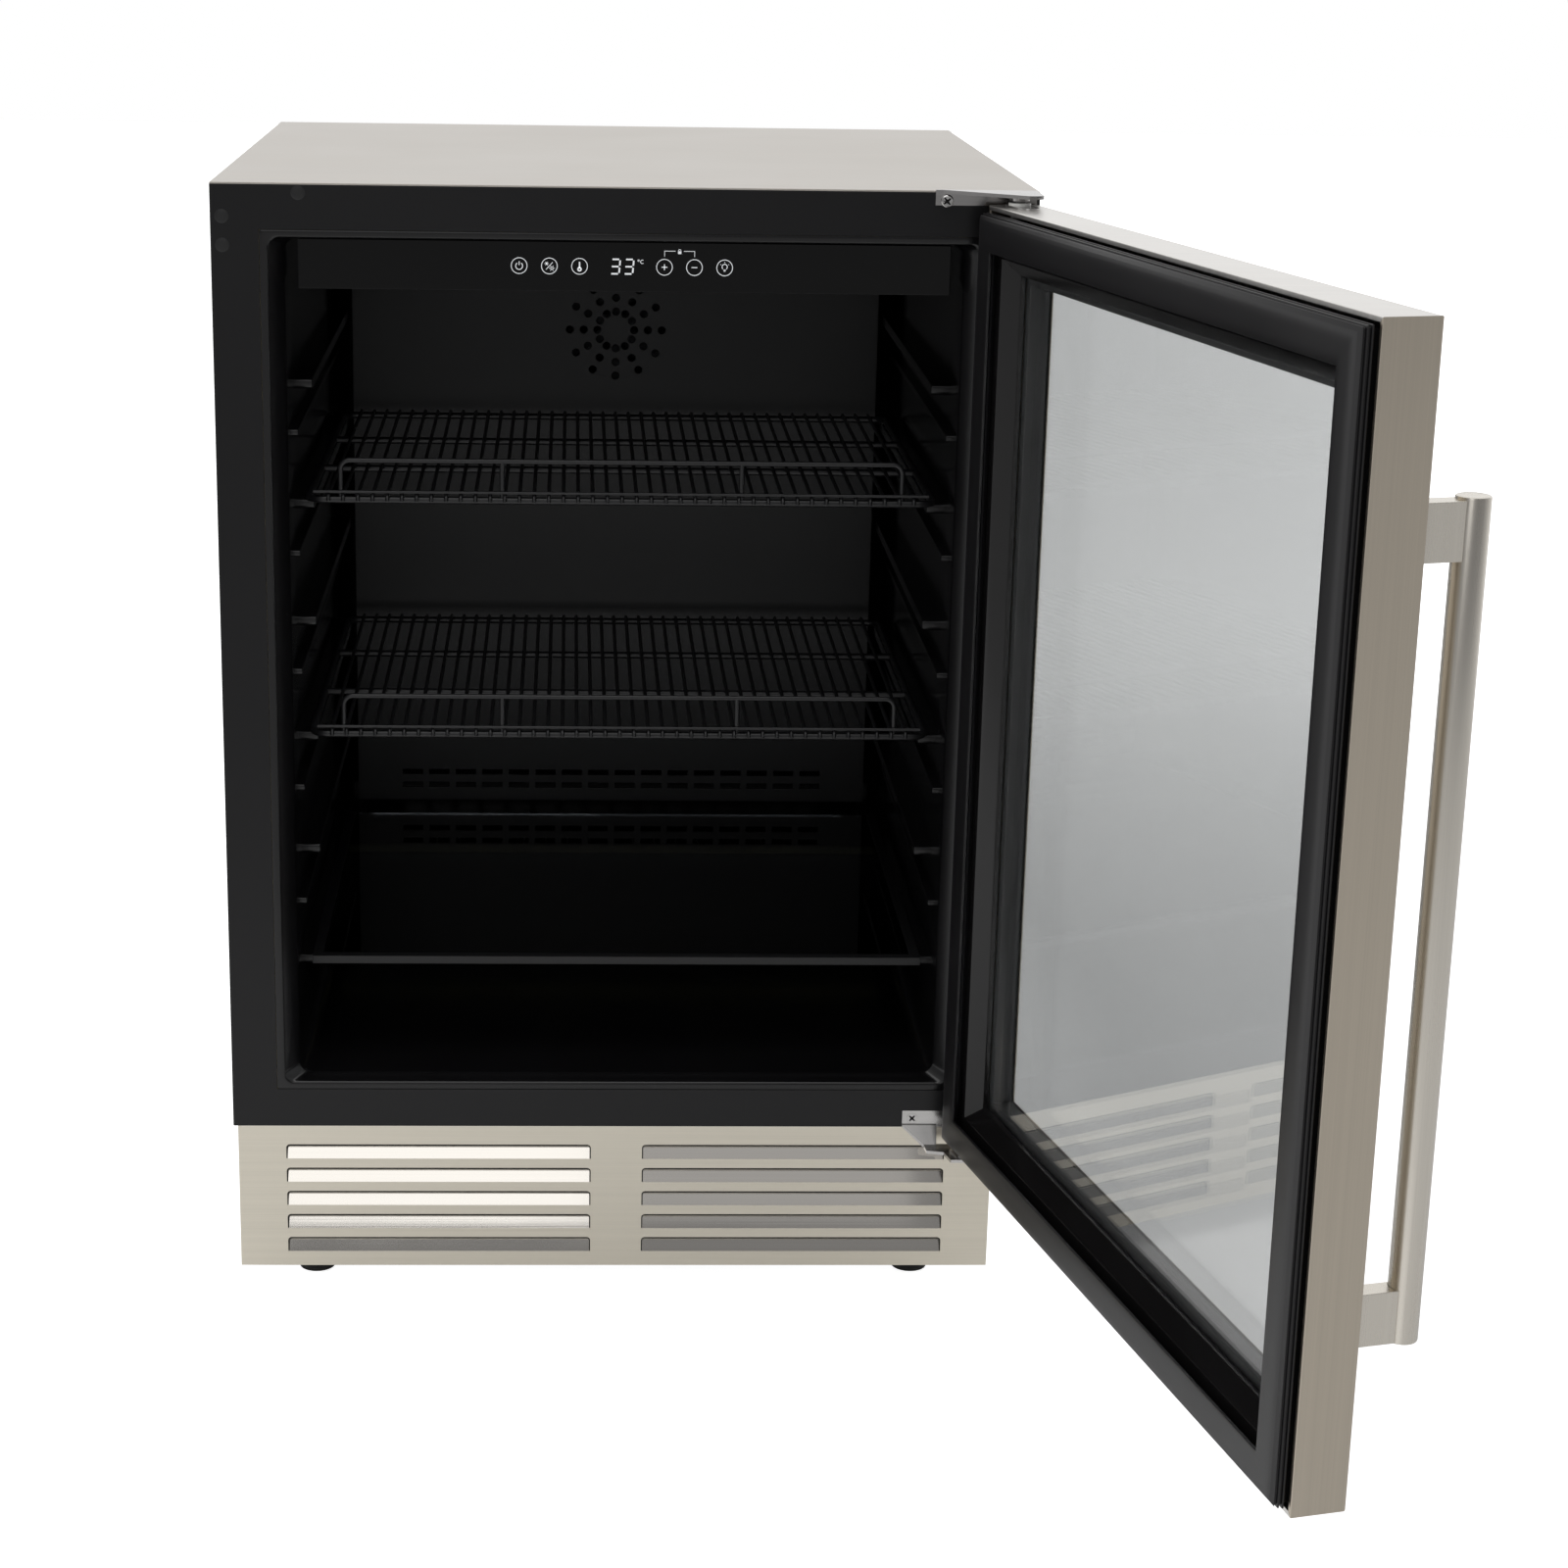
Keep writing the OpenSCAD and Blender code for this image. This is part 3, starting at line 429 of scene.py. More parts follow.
M = {
    "top": steel_mat("steel_top", (0.515, 0.482, 0.438), (0.30, 0.42), "x"),
    "kick": steel_mat("steel_kick", (0.69, 0.645, 0.55), (0.26, 0.38), "x"),
    "stile": steel_mat("steel_stile", (0.565, 0.505, 0.42), (0.28, 0.40), "z"),
    # the door's top and bottom rails: the stiles' steel painted lighter, a painted light for the light falling on
    # the door's top
    "rail": steel_mat("steel_rail", (0.74, 0.72, 0.69), (0.26, 0.38), "x", turn=-OPEN),
    "blade": steel_mat("steel_blade", (0.70, 0.67, 0.62), (0.035, 0.06), "x", depth=0.02, spread=0.03),
    "handle": steel_mat("steel_handle", (0.72, 0.68, 0.61), (0.22, 0.34), "z"),
    "zinc": steel_mat("zinc_plate", (0.52, 0.51, 0.50), (0.14, 0.26), "x", depth=0.05),
    # the top hinge's zinc: the plated steel painted darker, a painted shade
    "bracket": steel_mat("bracket_zinc", (0.36, 0.35, 0.345), (0.12, 0.22), "x", depth=0.05, spread=0.12),
    # near-black standing in for shade: painted shade in the louvre slots and on the screws' recessed crosses
    "painted_shade": plastic_mat("black_painted_shade", (0.004, 0.004, 0.004), 0.6, 400.0, 0.05, 0.1, spec=0.2),
    "pin": steel_mat("pin_steel", (0.70, 0.70, 0.69), (0.12, 0.22), "z", depth=0.03),
    "galv": plastic_mat("galvanised", (0.42, 0.43, 0.44), 0.42, 60.0, 0.04, 0.25, metallic=0.85),
    "paint": plastic_mat("black_paint", (0.0054, 0.0052, 0.0060), 0.34, 1600.0, 0.06, 0.10, spec=0.33),
    "liner": plastic_mat("liner_gloss", (0.0052, 0.0050, 0.0056), 0.18, 700.0, 0.015, 0.15, spec=0.42),
    "inner": plastic_mat("inner_frame_gloss", (0.0085, 0.0080, 0.0082), 0.12, 14.0, 0.35, 0.10, spec=0.42),
    "panel": plastic_mat("panel_gloss", (0.0018, 0.0018, 0.0020), 0.08, 400.0, 0.0, 0.10, spec=0.2),
    "black": plastic_mat("black_plastic", (0.0070, 0.0070, 0.0076), 0.42, 1200.0, 0.08, 0.12),
    "wire": plastic_mat("coated_wire", (0.010, 0.010, 0.011), 0.34, 900.0, 0.05, 0.12),
    "gasket": plastic_mat("gasket_vinyl", (0.0105, 0.0100, 0.0110), 0.38, 1500.0, 0.06, 0.12),
    "rubber": plastic_mat("rubber", (0.012, 0.012, 0.012), 0.6, 1200.0, 0.12, 0.15),
    "magnet": plastic_mat("magnet_strip", (0.05, 0.045, 0.04), 0.7, 900.0, 0.1, 0.15),
    "glass": glass_mat("door_glass", (0.945, 0.955, 0.955), 1.50, 0.0, 0.004),
    "tinted": glass_mat("shelf_glass", (0.10, 0.11, 0.12), 1.5, 0.0, 0.01),
    "spacer": plastic_mat("spacer_grey", (0.088, 0.088, 0.088), 0.55, 500.0, 0.03, 0.06),
    "white": plastic_mat("white_acetal", (0.76, 0.76, 0.73), 0.35, 500.0, 0.02, 0.04),
    "lamp": plastic_mat("lamp_diffuser", (0.80, 0.82, 0.85), 0.45, 400.0, 0.02, 0.03),
    "foam": plastic_mat("foam", (0.72, 0.63, 0.36), 0.85, 240.0, 0.4, 0.12),
    "alu": plastic_mat("coil_aluminium", (0.60, 0.61, 0.62), 0.34, 200.0, 0.05, 0.12, metallic=0.95),
    "coilblack": plastic_mat("coil_black", (0.022, 0.022, 0.024), 0.45, 400.0, 0.06, 0.15),
    "fan": plastic_mat("fan_grey", (0.22, 0.23, 0.24), 0.45, 800.0, 0.05, 0.1),
    "enamel": plastic_mat("compressor_enamel", (0.012, 0.012, 0.013), 0.26, 120.0, 0.05, 0.15, coat=0.3),
    "pale": plastic_mat("pale_moulding", (0.66, 0.66, 0.62), 0.45, 700.0, 0.05, 0.05),
    "icon": glow_mat("symbol_white", (0.80, 0.82, 0.84), 0.55),
}
BY_SLOT = {
    "black_painted_steel": "paint", "top_steel": "top", "door_steel": "stile", "kick_steel": "kick",
    "zinc_plated_steel": "zinc", "galvanised_steel": "galv", "liner_black": "liner",
    "inner_frame_black": "inner", "panel_gloss": "panel", "black_plastic": "black", "black_wire": "wire",
    "gasket_black": "gasket", "rubber_black": "rubber", "magnet": "magnet", "clear_glass": "glass",
    "shelf_glass": "tinted", "spacer": "spacer", "white_plastic": "white", "lamp": "lamp", "foam": "foam",
    "coil_aluminium": "alu", "coil_black": "coilblack", "fan_grey": "fan", "compressor_black": "enamel",
    "electronics_white": "pale",
}
SLOT = {s["node"]: s["material_slot"] for s in frame["record"]["subparts"]}

# every carried-over CAD node: its material, and for those listed here a small radius on its edges
SOFT_EDGE = {
    "top_panel": 0.4, "back_panel": 0.4, "rear_cover": 0.3, "top_hinge_bracket": 0.35,
    "bottom_hinge_bracket": 0.3, "touch_panel": 0.5, "light_bar": 0.6, "evaporator_cover": 0.5,
    "glass_outer": 0.4, "glass_inner": 0.4, "shelf_lower_glass": 0.5, "shelf_lower_trim": 0.6,
    "base_pan": 0.3, "control_box": 0.8, "drip_tray": 0.6, "evaporator_fan_frame": 0.5,
    "condenser_fan_frame": 0.5, "door_hinge_plates": 0.2,
}
# the top hinge's zinc plate takes the darker copy: painted shade
OWN = {"top_hinge_bracket": "bracket"}
for n, o in NODES.items():
    o.data.materials.clear()
    o.data.materials.append(M[OWN.get(n, BY_SLOT[SLOT[n]])])
    w = o.modifiers.new("weld", "WELD")
    w.merge_threshold = 1e-6
    if n in SOFT_EDGE:
        m = o.modifiers.new("edge", "BEVEL")
        m.width = SOFT_EDGE[n] * MM
        m.segments = 2
        m.limit_method = "ANGLE"
        m.angle_limit = math.radians(40)
        m.use_clamp_overlap = True
        m.harden_normals = False


def shut_box(*names):
    """The box, in millimetres, of door nodes with the door swung shut."""
    back = SWING.inverted()
    lo, hi = Vector((1e9,) * 3), Vector((-1e9,) * 3)
    for n in names:
        for v in NODES[n].data.vertices:
            p = (back @ v.co) * 1000
            lo = Vector(map(min, lo, p))
            hi = Vector(map(max, hi, p))
    return lo, hi


def mm_box(n):
    lo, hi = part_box(n)
    return lo * 1000, hi * 1000


def scaled(part):
    return [Vector(v) * MM for v in part[0]], part[1]


def door_piece(name, part, mat, node_names=(), slot=None, **kw):
    o = make(name, *swung(scaled(part)), mat, "door", slot=slot, **kw)
    fix_normals(o)
    if node_names:
        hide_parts(*node_names)
    return o


# ---------------------------------------------------------------- door
F_LO, F_HI = shut_box("door_stile_free", "door_stile_hinge", "door_rail_top", "door_rail_bottom")
HALF, Z0, Z1 = F_HI.x, F_LO.z, F_HI.z
FACE, INNER = F_LO.y, F_HI.y                       # the steel's outer face and its inner edge
WIDE = 52.0

# steel: face, outer edge with a soft fold, and a hem turned in at the back
steel = rounded([
    (0, FACE, 1.6), (WIDE, FACE, 0.5), (WIDE, FACE + 1, 0.2), (1, FACE + 1, 0.6), (1, INNER - 1.1, 0.2),
    (3.4, INNER - 1.1, 0.2), (3.4, INNER, 0.45), (0, INNER, 0.55)], 0.4, 5)
# the rails take the lighter copy of the door steel: painted light on the door's top
for side, nm, mat in (("left", "door_stile_free", "stile"), ("right", "door_stile_hinge", "stile"),
                      ("top", "door_rail_top", "rail"), ("bottom", "door_rail_bottom", "rail")):
    door_piece("steel_" + nm, bar_of_ring(steel, HALF, Z0, Z1, side), M[mat], (nm,), "door_steel", smooth=35)

# black inner frame: the flat the gasket sits on, a bevel, and the lip over the glass
LIP = 45.5
PANE_IN = shut_box("glass_inner")[1].y
inner = rounded([
    (7, FACE + 13, 0.3), (7, INNER + 1.9, 0.6), (13.2, INNER + 1.9, 0), (13.2, -17.5, 0), (16.8, -17.5, 0),
    (16.8, INNER + 1.9, 0), (34.0, INNER + 1.9, 1.4), (36.6, INNER - 0.5, 2.5), (LIP - 0.4, -20.4, 1.6),
    (LIP, PANE_IN + 0.02, 0.4), (LIP - 2.5, PANE_IN + 0.02, 0.2), (LIP - 2.7, -21.8, 0.8), (34.8, -12.6, 0.8),
    (19, -12.6, 0), (19, -20, 0), (11, -20, 0), (11, -12.6, 0), (9.5, -12.6, 0), (9.5, FACE + 13, 0.3)],
    0.4, 4)
door_piece("inner_frame", ring_sweep(inner, HALF, Z0, Z1), M["inner"], ("door_inner_frame",),
           "inner_frame_black", smooth=32)

# gasket: two outer bellows, a soft crowned face over the magnet, and the dart in its groove
G = shut_box("door_gasket")
GY = G[1].y
face = []
for i in range(13):
    t = i / 12
    face.append((10.4 + 18.4 * t, GY - 0.10 - 0.55 * (2 * t - 1) ** 4 + 0.10 * (1 - (2 * t - 1) ** 2)))
gk = rounded([
    (7.2, -10.1, 0.3), (4.6, -9.6, 0.3), (4.6, -8.5, 0.3), (6.4, -8.2, 0.3), (6.4, -7.2, 0.3),
    (5.0, -6.8, 0.3), (5.0, -5.6, 0.3), (6.8, -5.3, 0.3), (6.8, -4.3, 0.3), (6.0, -4.1, 0.2),
    (6.0, -3.75, 0.3), (7.2, -2.95, 0.4), (8.8, -1.9, 0.4)] + [(u, y, 0) for u, y in face] + [
    (29.8, GY - 0.9, 0.6), (30.6, -1.9, 0.5), (30.6, -3.9, 0.5), (24, -4.3, 0.5), (18.2, -4.6, 0.5),
    (18.2, -7.4, 0.5), (20, -8.7, 0.5), (20, -10.1, 0.3)], 0.4, 4)
door_piece("gasket", ring_sweep(gk, HALF, Z0, Z1), M["gasket"], ("door_gasket",), "gasket_black", smooth=50)

# insulated glass: spacer with a bright inner edge line, sealed at the outside
S_LO, S_HI = shut_box("glass_spacer")
sp = rounded([(43.2, S_LO.y + 0.05), (50.8, S_LO.y + 0.05), (51.0, S_LO.y + 0.4), (51.0, S_HI.y - 0.4),
              (50.8, S_HI.y - 0.05), (43.2, S_HI.y - 0.05)], 0.15, 3)
door_piece("spacer", ring_sweep(sp, HALF, Z0, Z1), M["spacer"], ("glass_spacer",), "spacer", smooth=35)

# handle: a round bar with a small chamfer at each end, on two posts shaped to the bar
H_LO, H_HI = shut_box("handle_bar")
hx, hy, hr = (H_LO.x + H_HI.x) / 2, (H_LO.y + H_HI.y) / 2, (H_HI.x - H_LO.x) / 2
prof = [(0.0, H_LO.z + 0.35), (hr * 0.55, H_LO.z + 0.25), (hr - 1.0, H_LO.z), (hr - 0.3, H_LO.z + 0.25),
        (hr, H_LO.z + 1.0), (hr, H_HI.z - 1.0), (hr - 0.3, H_HI.z - 0.25), (hr - 1.0, H_HI.z),
        (hr * 0.55, H_HI.z - 0.25), (0.0, H_HI.z - 0.35)]
door_piece("handle_tube", lathe(prof, (hx, hy, 0), "z", 72), M["handle"], ("handle_bar",), "door_steel",
           smooth=32)
P_LO, P_HI = shut_box("handle_posts")
pw, ph = (P_HI.x - P_LO.x) / 2, 34.5
parts = []
for zc in (P_LO.z + ph / 2, P_HI.z - ph / 2):
    poly = []
    for i in range(13):                            # the saddle that meets the bar
        a = math.asin(min(1, pw / hr)) * (1 - 2 * i / 12)
        poly.append((hx + hr * math.sin(a), hy + hr * math.cos(a)))
    poly += [(hx - pw, FACE), (hx + pw, FACE)]
    parts.append(extrude_xy(poly, zc - ph / 2, zc + ph / 2))
vs, fs = [], []
for v, f in parts:
    k = len(vs)
    vs += v
    fs += [tuple(i + k for i in q) for q in f]
door_piece("handle_mounts", (vs, fs), M["handle"], ("handle_posts",), "door_steel", smooth=30,
           bevel=0.5 * MM, seg=3)


# ---------------------------------------------------------------- liner
LN_HI = mm_box("inner_liner")[1]
SIDE = mm_box("front_header")[1].x                 # the trim's outer edge
TZ0, TZ1 = mm_box("front_sill")[1].z, mm_box("front_header")[0].z
WALL = 246.0
FLOOR, CEIL = TZ0 + 10.5, TZ1 - 7.0
BACK_Y = LN_HI.y - 1.6
HUMP_Y, HUMP_Z = 350.0, FLOOR + 76


def rrect(hw, z0, z1, r, n=8):
    out = []
    for cx, cz, a0 in ((1, 1, 0), (-1, 1, 90), (-1, -1, 180), (1, -1, 270)):
        for i in range(n + 1):
            a = math.radians(a0 + 90 * i / n)
            out.append((cx * (hw - r) + r * math.cos(a), (z1 - r if cz > 0 else z0 + r) + r * math.sin(a)))
    return out


stations = [
    (0.9, SIDE - 0.15, TZ0 + 0.15, TZ1 - 0.15, 1.2), (0.35, SIDE - 0.25, TZ0 + 0.25, TZ1 - 0.25, 1.4),
    (0.10, SIDE - 0.8, TZ0 + 0.8, TZ1 - 0.8, 1.6), (0.05, SIDE - 1.6, TZ0 + 1.4, TZ1 - 1.6, 3.0),
    (0.05, SIDE - 4.6, TZ0 + 4.6, TZ1 - 4.2, 7.5), (0.35, SIDE - 5.5, TZ0 + 5.4, TZ1 - 5.0, 8.5),
    (1.1, SIDE - 6.1, TZ0 + 6.0, TZ1 - 5.5, 9.0), (2.2, SIDE - 7.0, TZ0 + 6.5, TZ1 - 5.8, 9.0),
    (11.0, WALL + 1.1, FLOOR - 0.4, CEIL + 0.2, 9.5), (12.6, WALL + 0.2, FLOOR, CEIL, 10),
    (14, WALL, FLOOR, CEIL, 10), (60, WALL, FLOOR, CEIL, 10), (BACK_Y - 16, WALL, FLOOR, CEIL, 10),
    (BACK_Y - 9, WALL - 1.6, FLOOR + 1.6, CEIL - 1.6, 11),
    (BACK_Y - 3.5, WALL - 5.5, FLOOR + 5.5, CEIL - 5.5, 12),
    (BACK_Y - 0.6, WALL - 11, FLOOR + 11, CEIL - 11, 12),
    (BACK_Y, WALL - 16, FLOOR + 16, CEIL - 16, 12)]
vs, fs = [], []
for y, hw_, z0_, z1_, r_ in stations:
    vs += [(x, y, z) for x, z in rrect(hw_, z0_, z1_, r_)]
k = len(rrect(1, 0, 1, 0.1))
for i in range(len(stations) - 1):
    for j in range(k):
        j2 = (j + 1) % k
        fs.append((i * k + j, i * k + j2, (i + 1) * k + j2, (i + 1) * k + j))
fs.append(tuple((len(stations) - 1) * k + j for j in range(k)))
liner = make("liner_shell", *scaled((vs, fs)), M["liner"], "cabinet", smooth=40, slot="liner_black")
m = liner.modifiers.new("wall", "SOLIDIFY")
m.thickness = 1.4 * MM
m.offset = -1.0
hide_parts("inner_liner")



def two_boxes(a, b):
    (a0, a1), (b0, b1) = mm_box(a), mm_box(b)
    return Vector(map(min, a0, b0)), Vector(map(max, a1, b1))


U_LO, U_HI = two_boxes("shelf_upper", "shelf_upper_guard")
M_LO, M_HI = two_boxes("shelf_middle", "shelf_middle_guard")
PITCH = (U_LO.z - M_LO.z) / 2
LEDGE = U_LO.z - 0.1


def bar_yz(poly, x0, x1):
    n = len(poly)
    v = [(x0, y, z) for y, z in poly] + [(x1, y, z) for y, z in poly]
    f = [tuple(range(n)), tuple(reversed(range(n, 2 * n)))]
    for i in range(n):
        j = (i + 1) % n
        f.append((j, i, n + i, n + j))
    return v, f


hump = rounded([(HUMP_Y + 0.4, FLOOR - 0.6, 0), (HUMP_Y, HUMP_Z, 14), (BACK_Y + 0.3, HUMP_Z, 0),
                (BACK_Y + 0.3, FLOOR - 0.6, 0)], 2, 10)
h = make("liner_step", *scaled(bar_yz(hump, -WALL - 0.3, WALL + 0.3)), M["liner"], "cabinet", smooth=40,
         slot="liner_black")
fix_normals(h)
parts = []
for s in (-1, 1):
    for i in range(-4, 2):
        z = LEDGE + i * PITCH
        poly = rounded([(67, z - 8, 3.4), (67, z, 2.2), (450, z, 2.2), (450, z - 8, 3.4)], 2, 5)
        parts.append(scaled(bar_yz(poly, s * (WALL - 13.9), s * (WALL + 0.5))))
        if i > -4:
            z -= 32
            poly = rounded([(30, z - 5, 2.2), (30, z, 1.6), (450, z, 1.6), (450, z - 5, 2.2)], 2, 5)
            parts.append(scaled(bar_yz(poly, s * (WALL - 5.9), s * (WALL + 0.5))))
led = join("liner_ledges", parts, M["liner"], "cabinet", smooth=35, bevel=0.7 * MM, seg=3, slot="liner_black")
fix_normals(led)

# ---------------------------------------------------------------- wire shelves
for nm, body, lo, hi in (("upper", "upper_shelf", U_LO, U_HI), ("middle", "middle_shelf", M_LO, M_HI)):
    wz = hi.z - 28.0                               # axis of the front-to-back wires
    wr, rr = 1.5, 2.8
    rz = lo.z + rr
    xf = hi.x - rr
    y0, y1 = lo.y + 3.1 + rr, hi.y - rr
    parts = []
    cr = 12
    loop = (arc((xf - cr, y1 - cr, rz), cr, 0, 90, 8, "xy")
            + arc((-xf + cr, y1 - cr, rz), cr, 90, 180, 8, "xy")
            + arc((-xf + cr, y0 + cr, rz), cr, 180, 270, 8, "xy")
            + arc((xf - cr, y0 + cr, rz), cr, 270, 360, 8, "xy"))
    parts.append(tube(loop, rr, 14, closed=True))
    for y in (y0 + 128, y0 + 256):
        parts.append(tube([(-xf, y, rz), (xf, y, rz)], rr, 12))
    count = int((hi.x - 10) // 11)
    for i in range(-count, count + 1):
        x = i * 11.0
        bend = [(x, p[1], p[2]) for p in arc((0, lo.y + wr + 3.6, wz - 3.6), 3.6, 90, 180, 6, "yz")]
        tip = [(x, lo.y + wr, rz - 0.2)]
        parts.append(tube([(x, y1 + 1.2, wz)] + bend + tip, wr, 8))
    gx, gr = hi.x - 25, 2.0
    gz = hi.z - gr
    gy = y0 + 0.6
    c = 7.0
    path = ([(-gx + gr, gy, rz)] + arc((-gx + gr + c, gy, gz - c), c, 180, 90, 7)
            + arc((gx - gr - c, gy, gz - c), c, 90, 0, 7) + [(gx - gr, gy, rz)])
    parts.append(tube(path, gr, 14))
    for x in (-90, 90):
        parts.append(tube([(x, gy, rz), (x, gy, gz)], gr, 12))
    parts.append(tube([(-xf + 4, lo.y + 4.2, wz + wr + 0.9), (xf - 4, lo.y + 4.2, wz + wr + 0.9)], 1.3, 10))
    o = join("wire_shelf_" + nm, [scaled(q) for q in parts], M["wire"], body, smooth=50, slot="black_wire")
    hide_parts("shelf_" + nm, "shelf_" + nm + "_guard")

# ---------------------------------------------------------------- kick plate
# each louvre: a bright blade over the sheet's own one, and a black strip along its top and ends, a painted shade
# for the gap
KP_LO, KP_HI = mm_box("kick_plate")
LW, LH, LP = 237.0, 12.0, 19.6
blades, gap_painted_shade = [], []
for gx in (-20 - LW, 20.0):
    for i in range(5):
        z = KP_LO.z + 12 + i * LP
        n = 10
        rows = []
        for j in range(n + 1):
            t = j / n
            y = KP_LO.y + 0.02 + 4.9 * t
            rows.append((y, z + 0.1 + (LH - 1.0) * t))
        poly = rows + [(y + 0.5, zz) for y, zz in reversed(rows)]
        k = len(poly)
        x0, x1 = gx + 1.0, gx + LW - 1.0
        v = [(x0, y, zz) for y, zz in poly] + [(x1, y, zz) for y, zz in poly]
        f = [tuple(range(k)), tuple(reversed(range(k, 2 * k)))]
        for a in range(k):
            f.append(((a + 1) % k, a, k + a, k + (a + 1) % k))
        blades.append(scaled((v, f)))
        # the painted shade of the gap: a black line above the blade, turning down at both ends
        corner, gap, inset = 3.0, 1.05, 0.05
        across, rise = corner - inset, z + LH - corner
        turns = [(math.cos(math.radians(q)), math.sin(math.radians(q))) for q in (22, 45, 68)]
        outer = [(gx + inset, z + 0.3), (gx + inset, rise)]
        outer += [(gx + corner - across * ca, rise + across * sa) for ca, sa in turns]
        outer += [(gx + corner, z + LH - inset), (gx + LW - corner, z + LH - inset)]
        outer += [(gx + LW - corner + across * ca, rise + across * sa) for ca, sa in reversed(turns)]
        outer += [(gx + LW - inset, rise), (gx + LW - inset, z + 0.3)]
        middle, k = gx + LW / 2, len(outer)
        inner = []
        for px, pz in outer:
            step = (gap if px < middle else -gap) * (0.8 if pz < z + LH - 1 else 1)
            inner.append((px + step, min(pz, z + LH - gap)))
        front, back = KP_LO.y + 0.04, KP_LO.y + 0.9
        v = [(px, y, pz) for y in (front, back) for px, pz in outer + inner]
        f = [(a, a + 1, k + a + 1, k + a) for a in range(k - 1)]
        f += [(2 * k + a, 3 * k + a, 3 * k + a + 1, 2 * k + a + 1) for a in range(k - 1)]
        f += [(a, 2 * k + a, 2 * k + a + 1, a + 1) for a in range(k - 1)]
        f += [(k + a, k + a + 1, 3 * k + a + 1, 3 * k + a) for a in range(k - 1)]
        f += [(0, k, 3 * k, 2 * k), (k - 1, 3 * k - 1, 4 * k - 1, 2 * k - 1)]
        gap_painted_shade.append(scaled((v, f)))
g_o = join("louvre_gap_painted_shade", gap_painted_shade, M["painted_shade"], "cabinet", smooth=0, slot="black_plastic")
fix_normals(g_o)
b_o = join("louvre_blades", blades, M["blade"], "cabinet", smooth=40, slot="kick_steel")
fix_normals(b_o)
rim = boxy((-KP_HI.x + 2.5, KP_LO.y - 0.01, KP_HI.z - 0.9), (KP_HI.x - 2.5, KP_LO.y + 0.9, KP_HI.z - 0.02))
make("kick_plate_rim", *scaled(rim), M["blade"], "cabinet", smooth=30, bevel=0.35 * MM, seg=3,
     slot="kick_steel")

# ---------------------------------------------------------------- touch symbols
TP_LO, TP_HI = mm_box("touch_panel")
IY = TP_LO.y
IZ = (TP_LO.z + TP_HI.z) / 2 + 0.2
strokes = []


def stroke(pts, w=0.55, closed=False):
    n = len(pts)
    v, f = [], []
    for i in range(n):
        a = Vector(pts[i - 1] if (closed or i) else pts[i])
        c = Vector(pts[i])
        b = Vector(pts[(i + 1) % n] if (closed or i < n - 1) else pts[i])
        d0, d1 = (c - a), (b - c)
        d0 = d0.normalized() if d0.length > 1e-9 else d1.normalized()
        d1 = d1.normalized() if d1.length > 1e-9 else d0
        t = (d0 + d1).normalized()
        nrm = Vector((-t.y, t.x)) * (w / 2 / max(0.6, t.dot(d0)))
        for s, y in ((1, IY - 0.06), (-1, IY - 0.06), (-1, IY + 0.02), (1, IY + 0.02)):
            v.append((c.x + s * nrm.x, y, c.y + s * nrm.y))
    for i in range(n if closed else n - 1):
        p, q = i * 4, ((i + 1) % n) * 4
        for j in range(4):
            j2 = (j + 1) % 4
            f.append((p + j, p + j2, q + j2, q + j))
    if not closed:
        f.append((3, 2, 1, 0))
        e = (n - 1) * 4
        f.append((e, e + 1, e + 2, e + 3))
    strokes.append((v, f))


def circ(cx, cz, r, a0=0, a1=360, w=0.55, n=32):
    full = abs(a1 - a0) >= 360
    turns = [math.radians(a0 + (a1 - a0) * i / n) for i in range(n if full else n + 1)]
    pts = [(cx + r * math.cos(q), cz + r * math.sin(q)) for q in turns]
    stroke(pts, w, full)


def line(x0, z0, x1, z1, w=0.55):
    stroke([(x0, z0), (x1, z1)], w)


for x in (-76.8, -55.0, -33.2, 28.2, 49.9, 71.8):
    circ(x, IZ, 5.7, w=0.5, n=44)
circ(-76.8, IZ - 0.2, 2.5, 125, 415, 0.6)
line(-76.8, IZ + 0.4, -76.8, IZ + 3.1, 0.6)
for a in range(0, 180, 60):                        # snow above, sun below, split by a slanted line
    ca, sa = math.cos(math.radians(a)), math.sin(math.radians(a))
    line(-57.0 - 1.5 * ca, IZ + 1.7 - 1.5 * sa, -57.0 + 1.5 * ca, IZ + 1.7 + 1.5 * sa, 0.4)
circ(-53.2, IZ - 1.6, 0.9, w=0.45, n=16)
for a in range(0, 360, 60):
    ca, sa = math.cos(math.radians(a)), math.sin(math.radians(a))
    line(-53.2 + 1.5 * ca, IZ - 1.6 + 1.5 * sa, -53.2 + 2.1 * ca, IZ - 1.6 + 2.1 * sa, 0.4)
stroke([(-52.6, IZ + 2.7), (-57.4, IZ - 2.5)], 0.45)
circ(-33.2, IZ - 2.1, 1.15, w=1.0, n=16)
line(-33.2, IZ - 1.4, -33.2, IZ + 3.2, 1.0)
for x in (28.2, 49.9):
    line(x - 2.1, IZ, x + 2.1, IZ, 0.6)
line(28.2, IZ - 2.1, 28.2, IZ + 2.1, 0.6)
circ(71.8, IZ + 0.7, 1.9, -50, 230, 0.55, 20)
line(70.9, IZ - 1.5, 72.7, IZ - 1.5, 0.5)
line(71.1, IZ - 2.4, 72.5, IZ - 2.4, 0.5)
for a in (30, 90, 150):
    ca, sa = math.cos(math.radians(a)), math.sin(math.radians(a))
    line(71.8 + 2.9 * ca, IZ + 0.7 + 2.9 * sa, 71.8 + 3.6 * ca, IZ + 0.7 + 3.6 * sa, 0.4)
LX = 39.1
stroke([(28.2, IZ + 7.6), (28.2, IZ + 11.6), (LX - 3.0, IZ + 11.6)], 0.4)
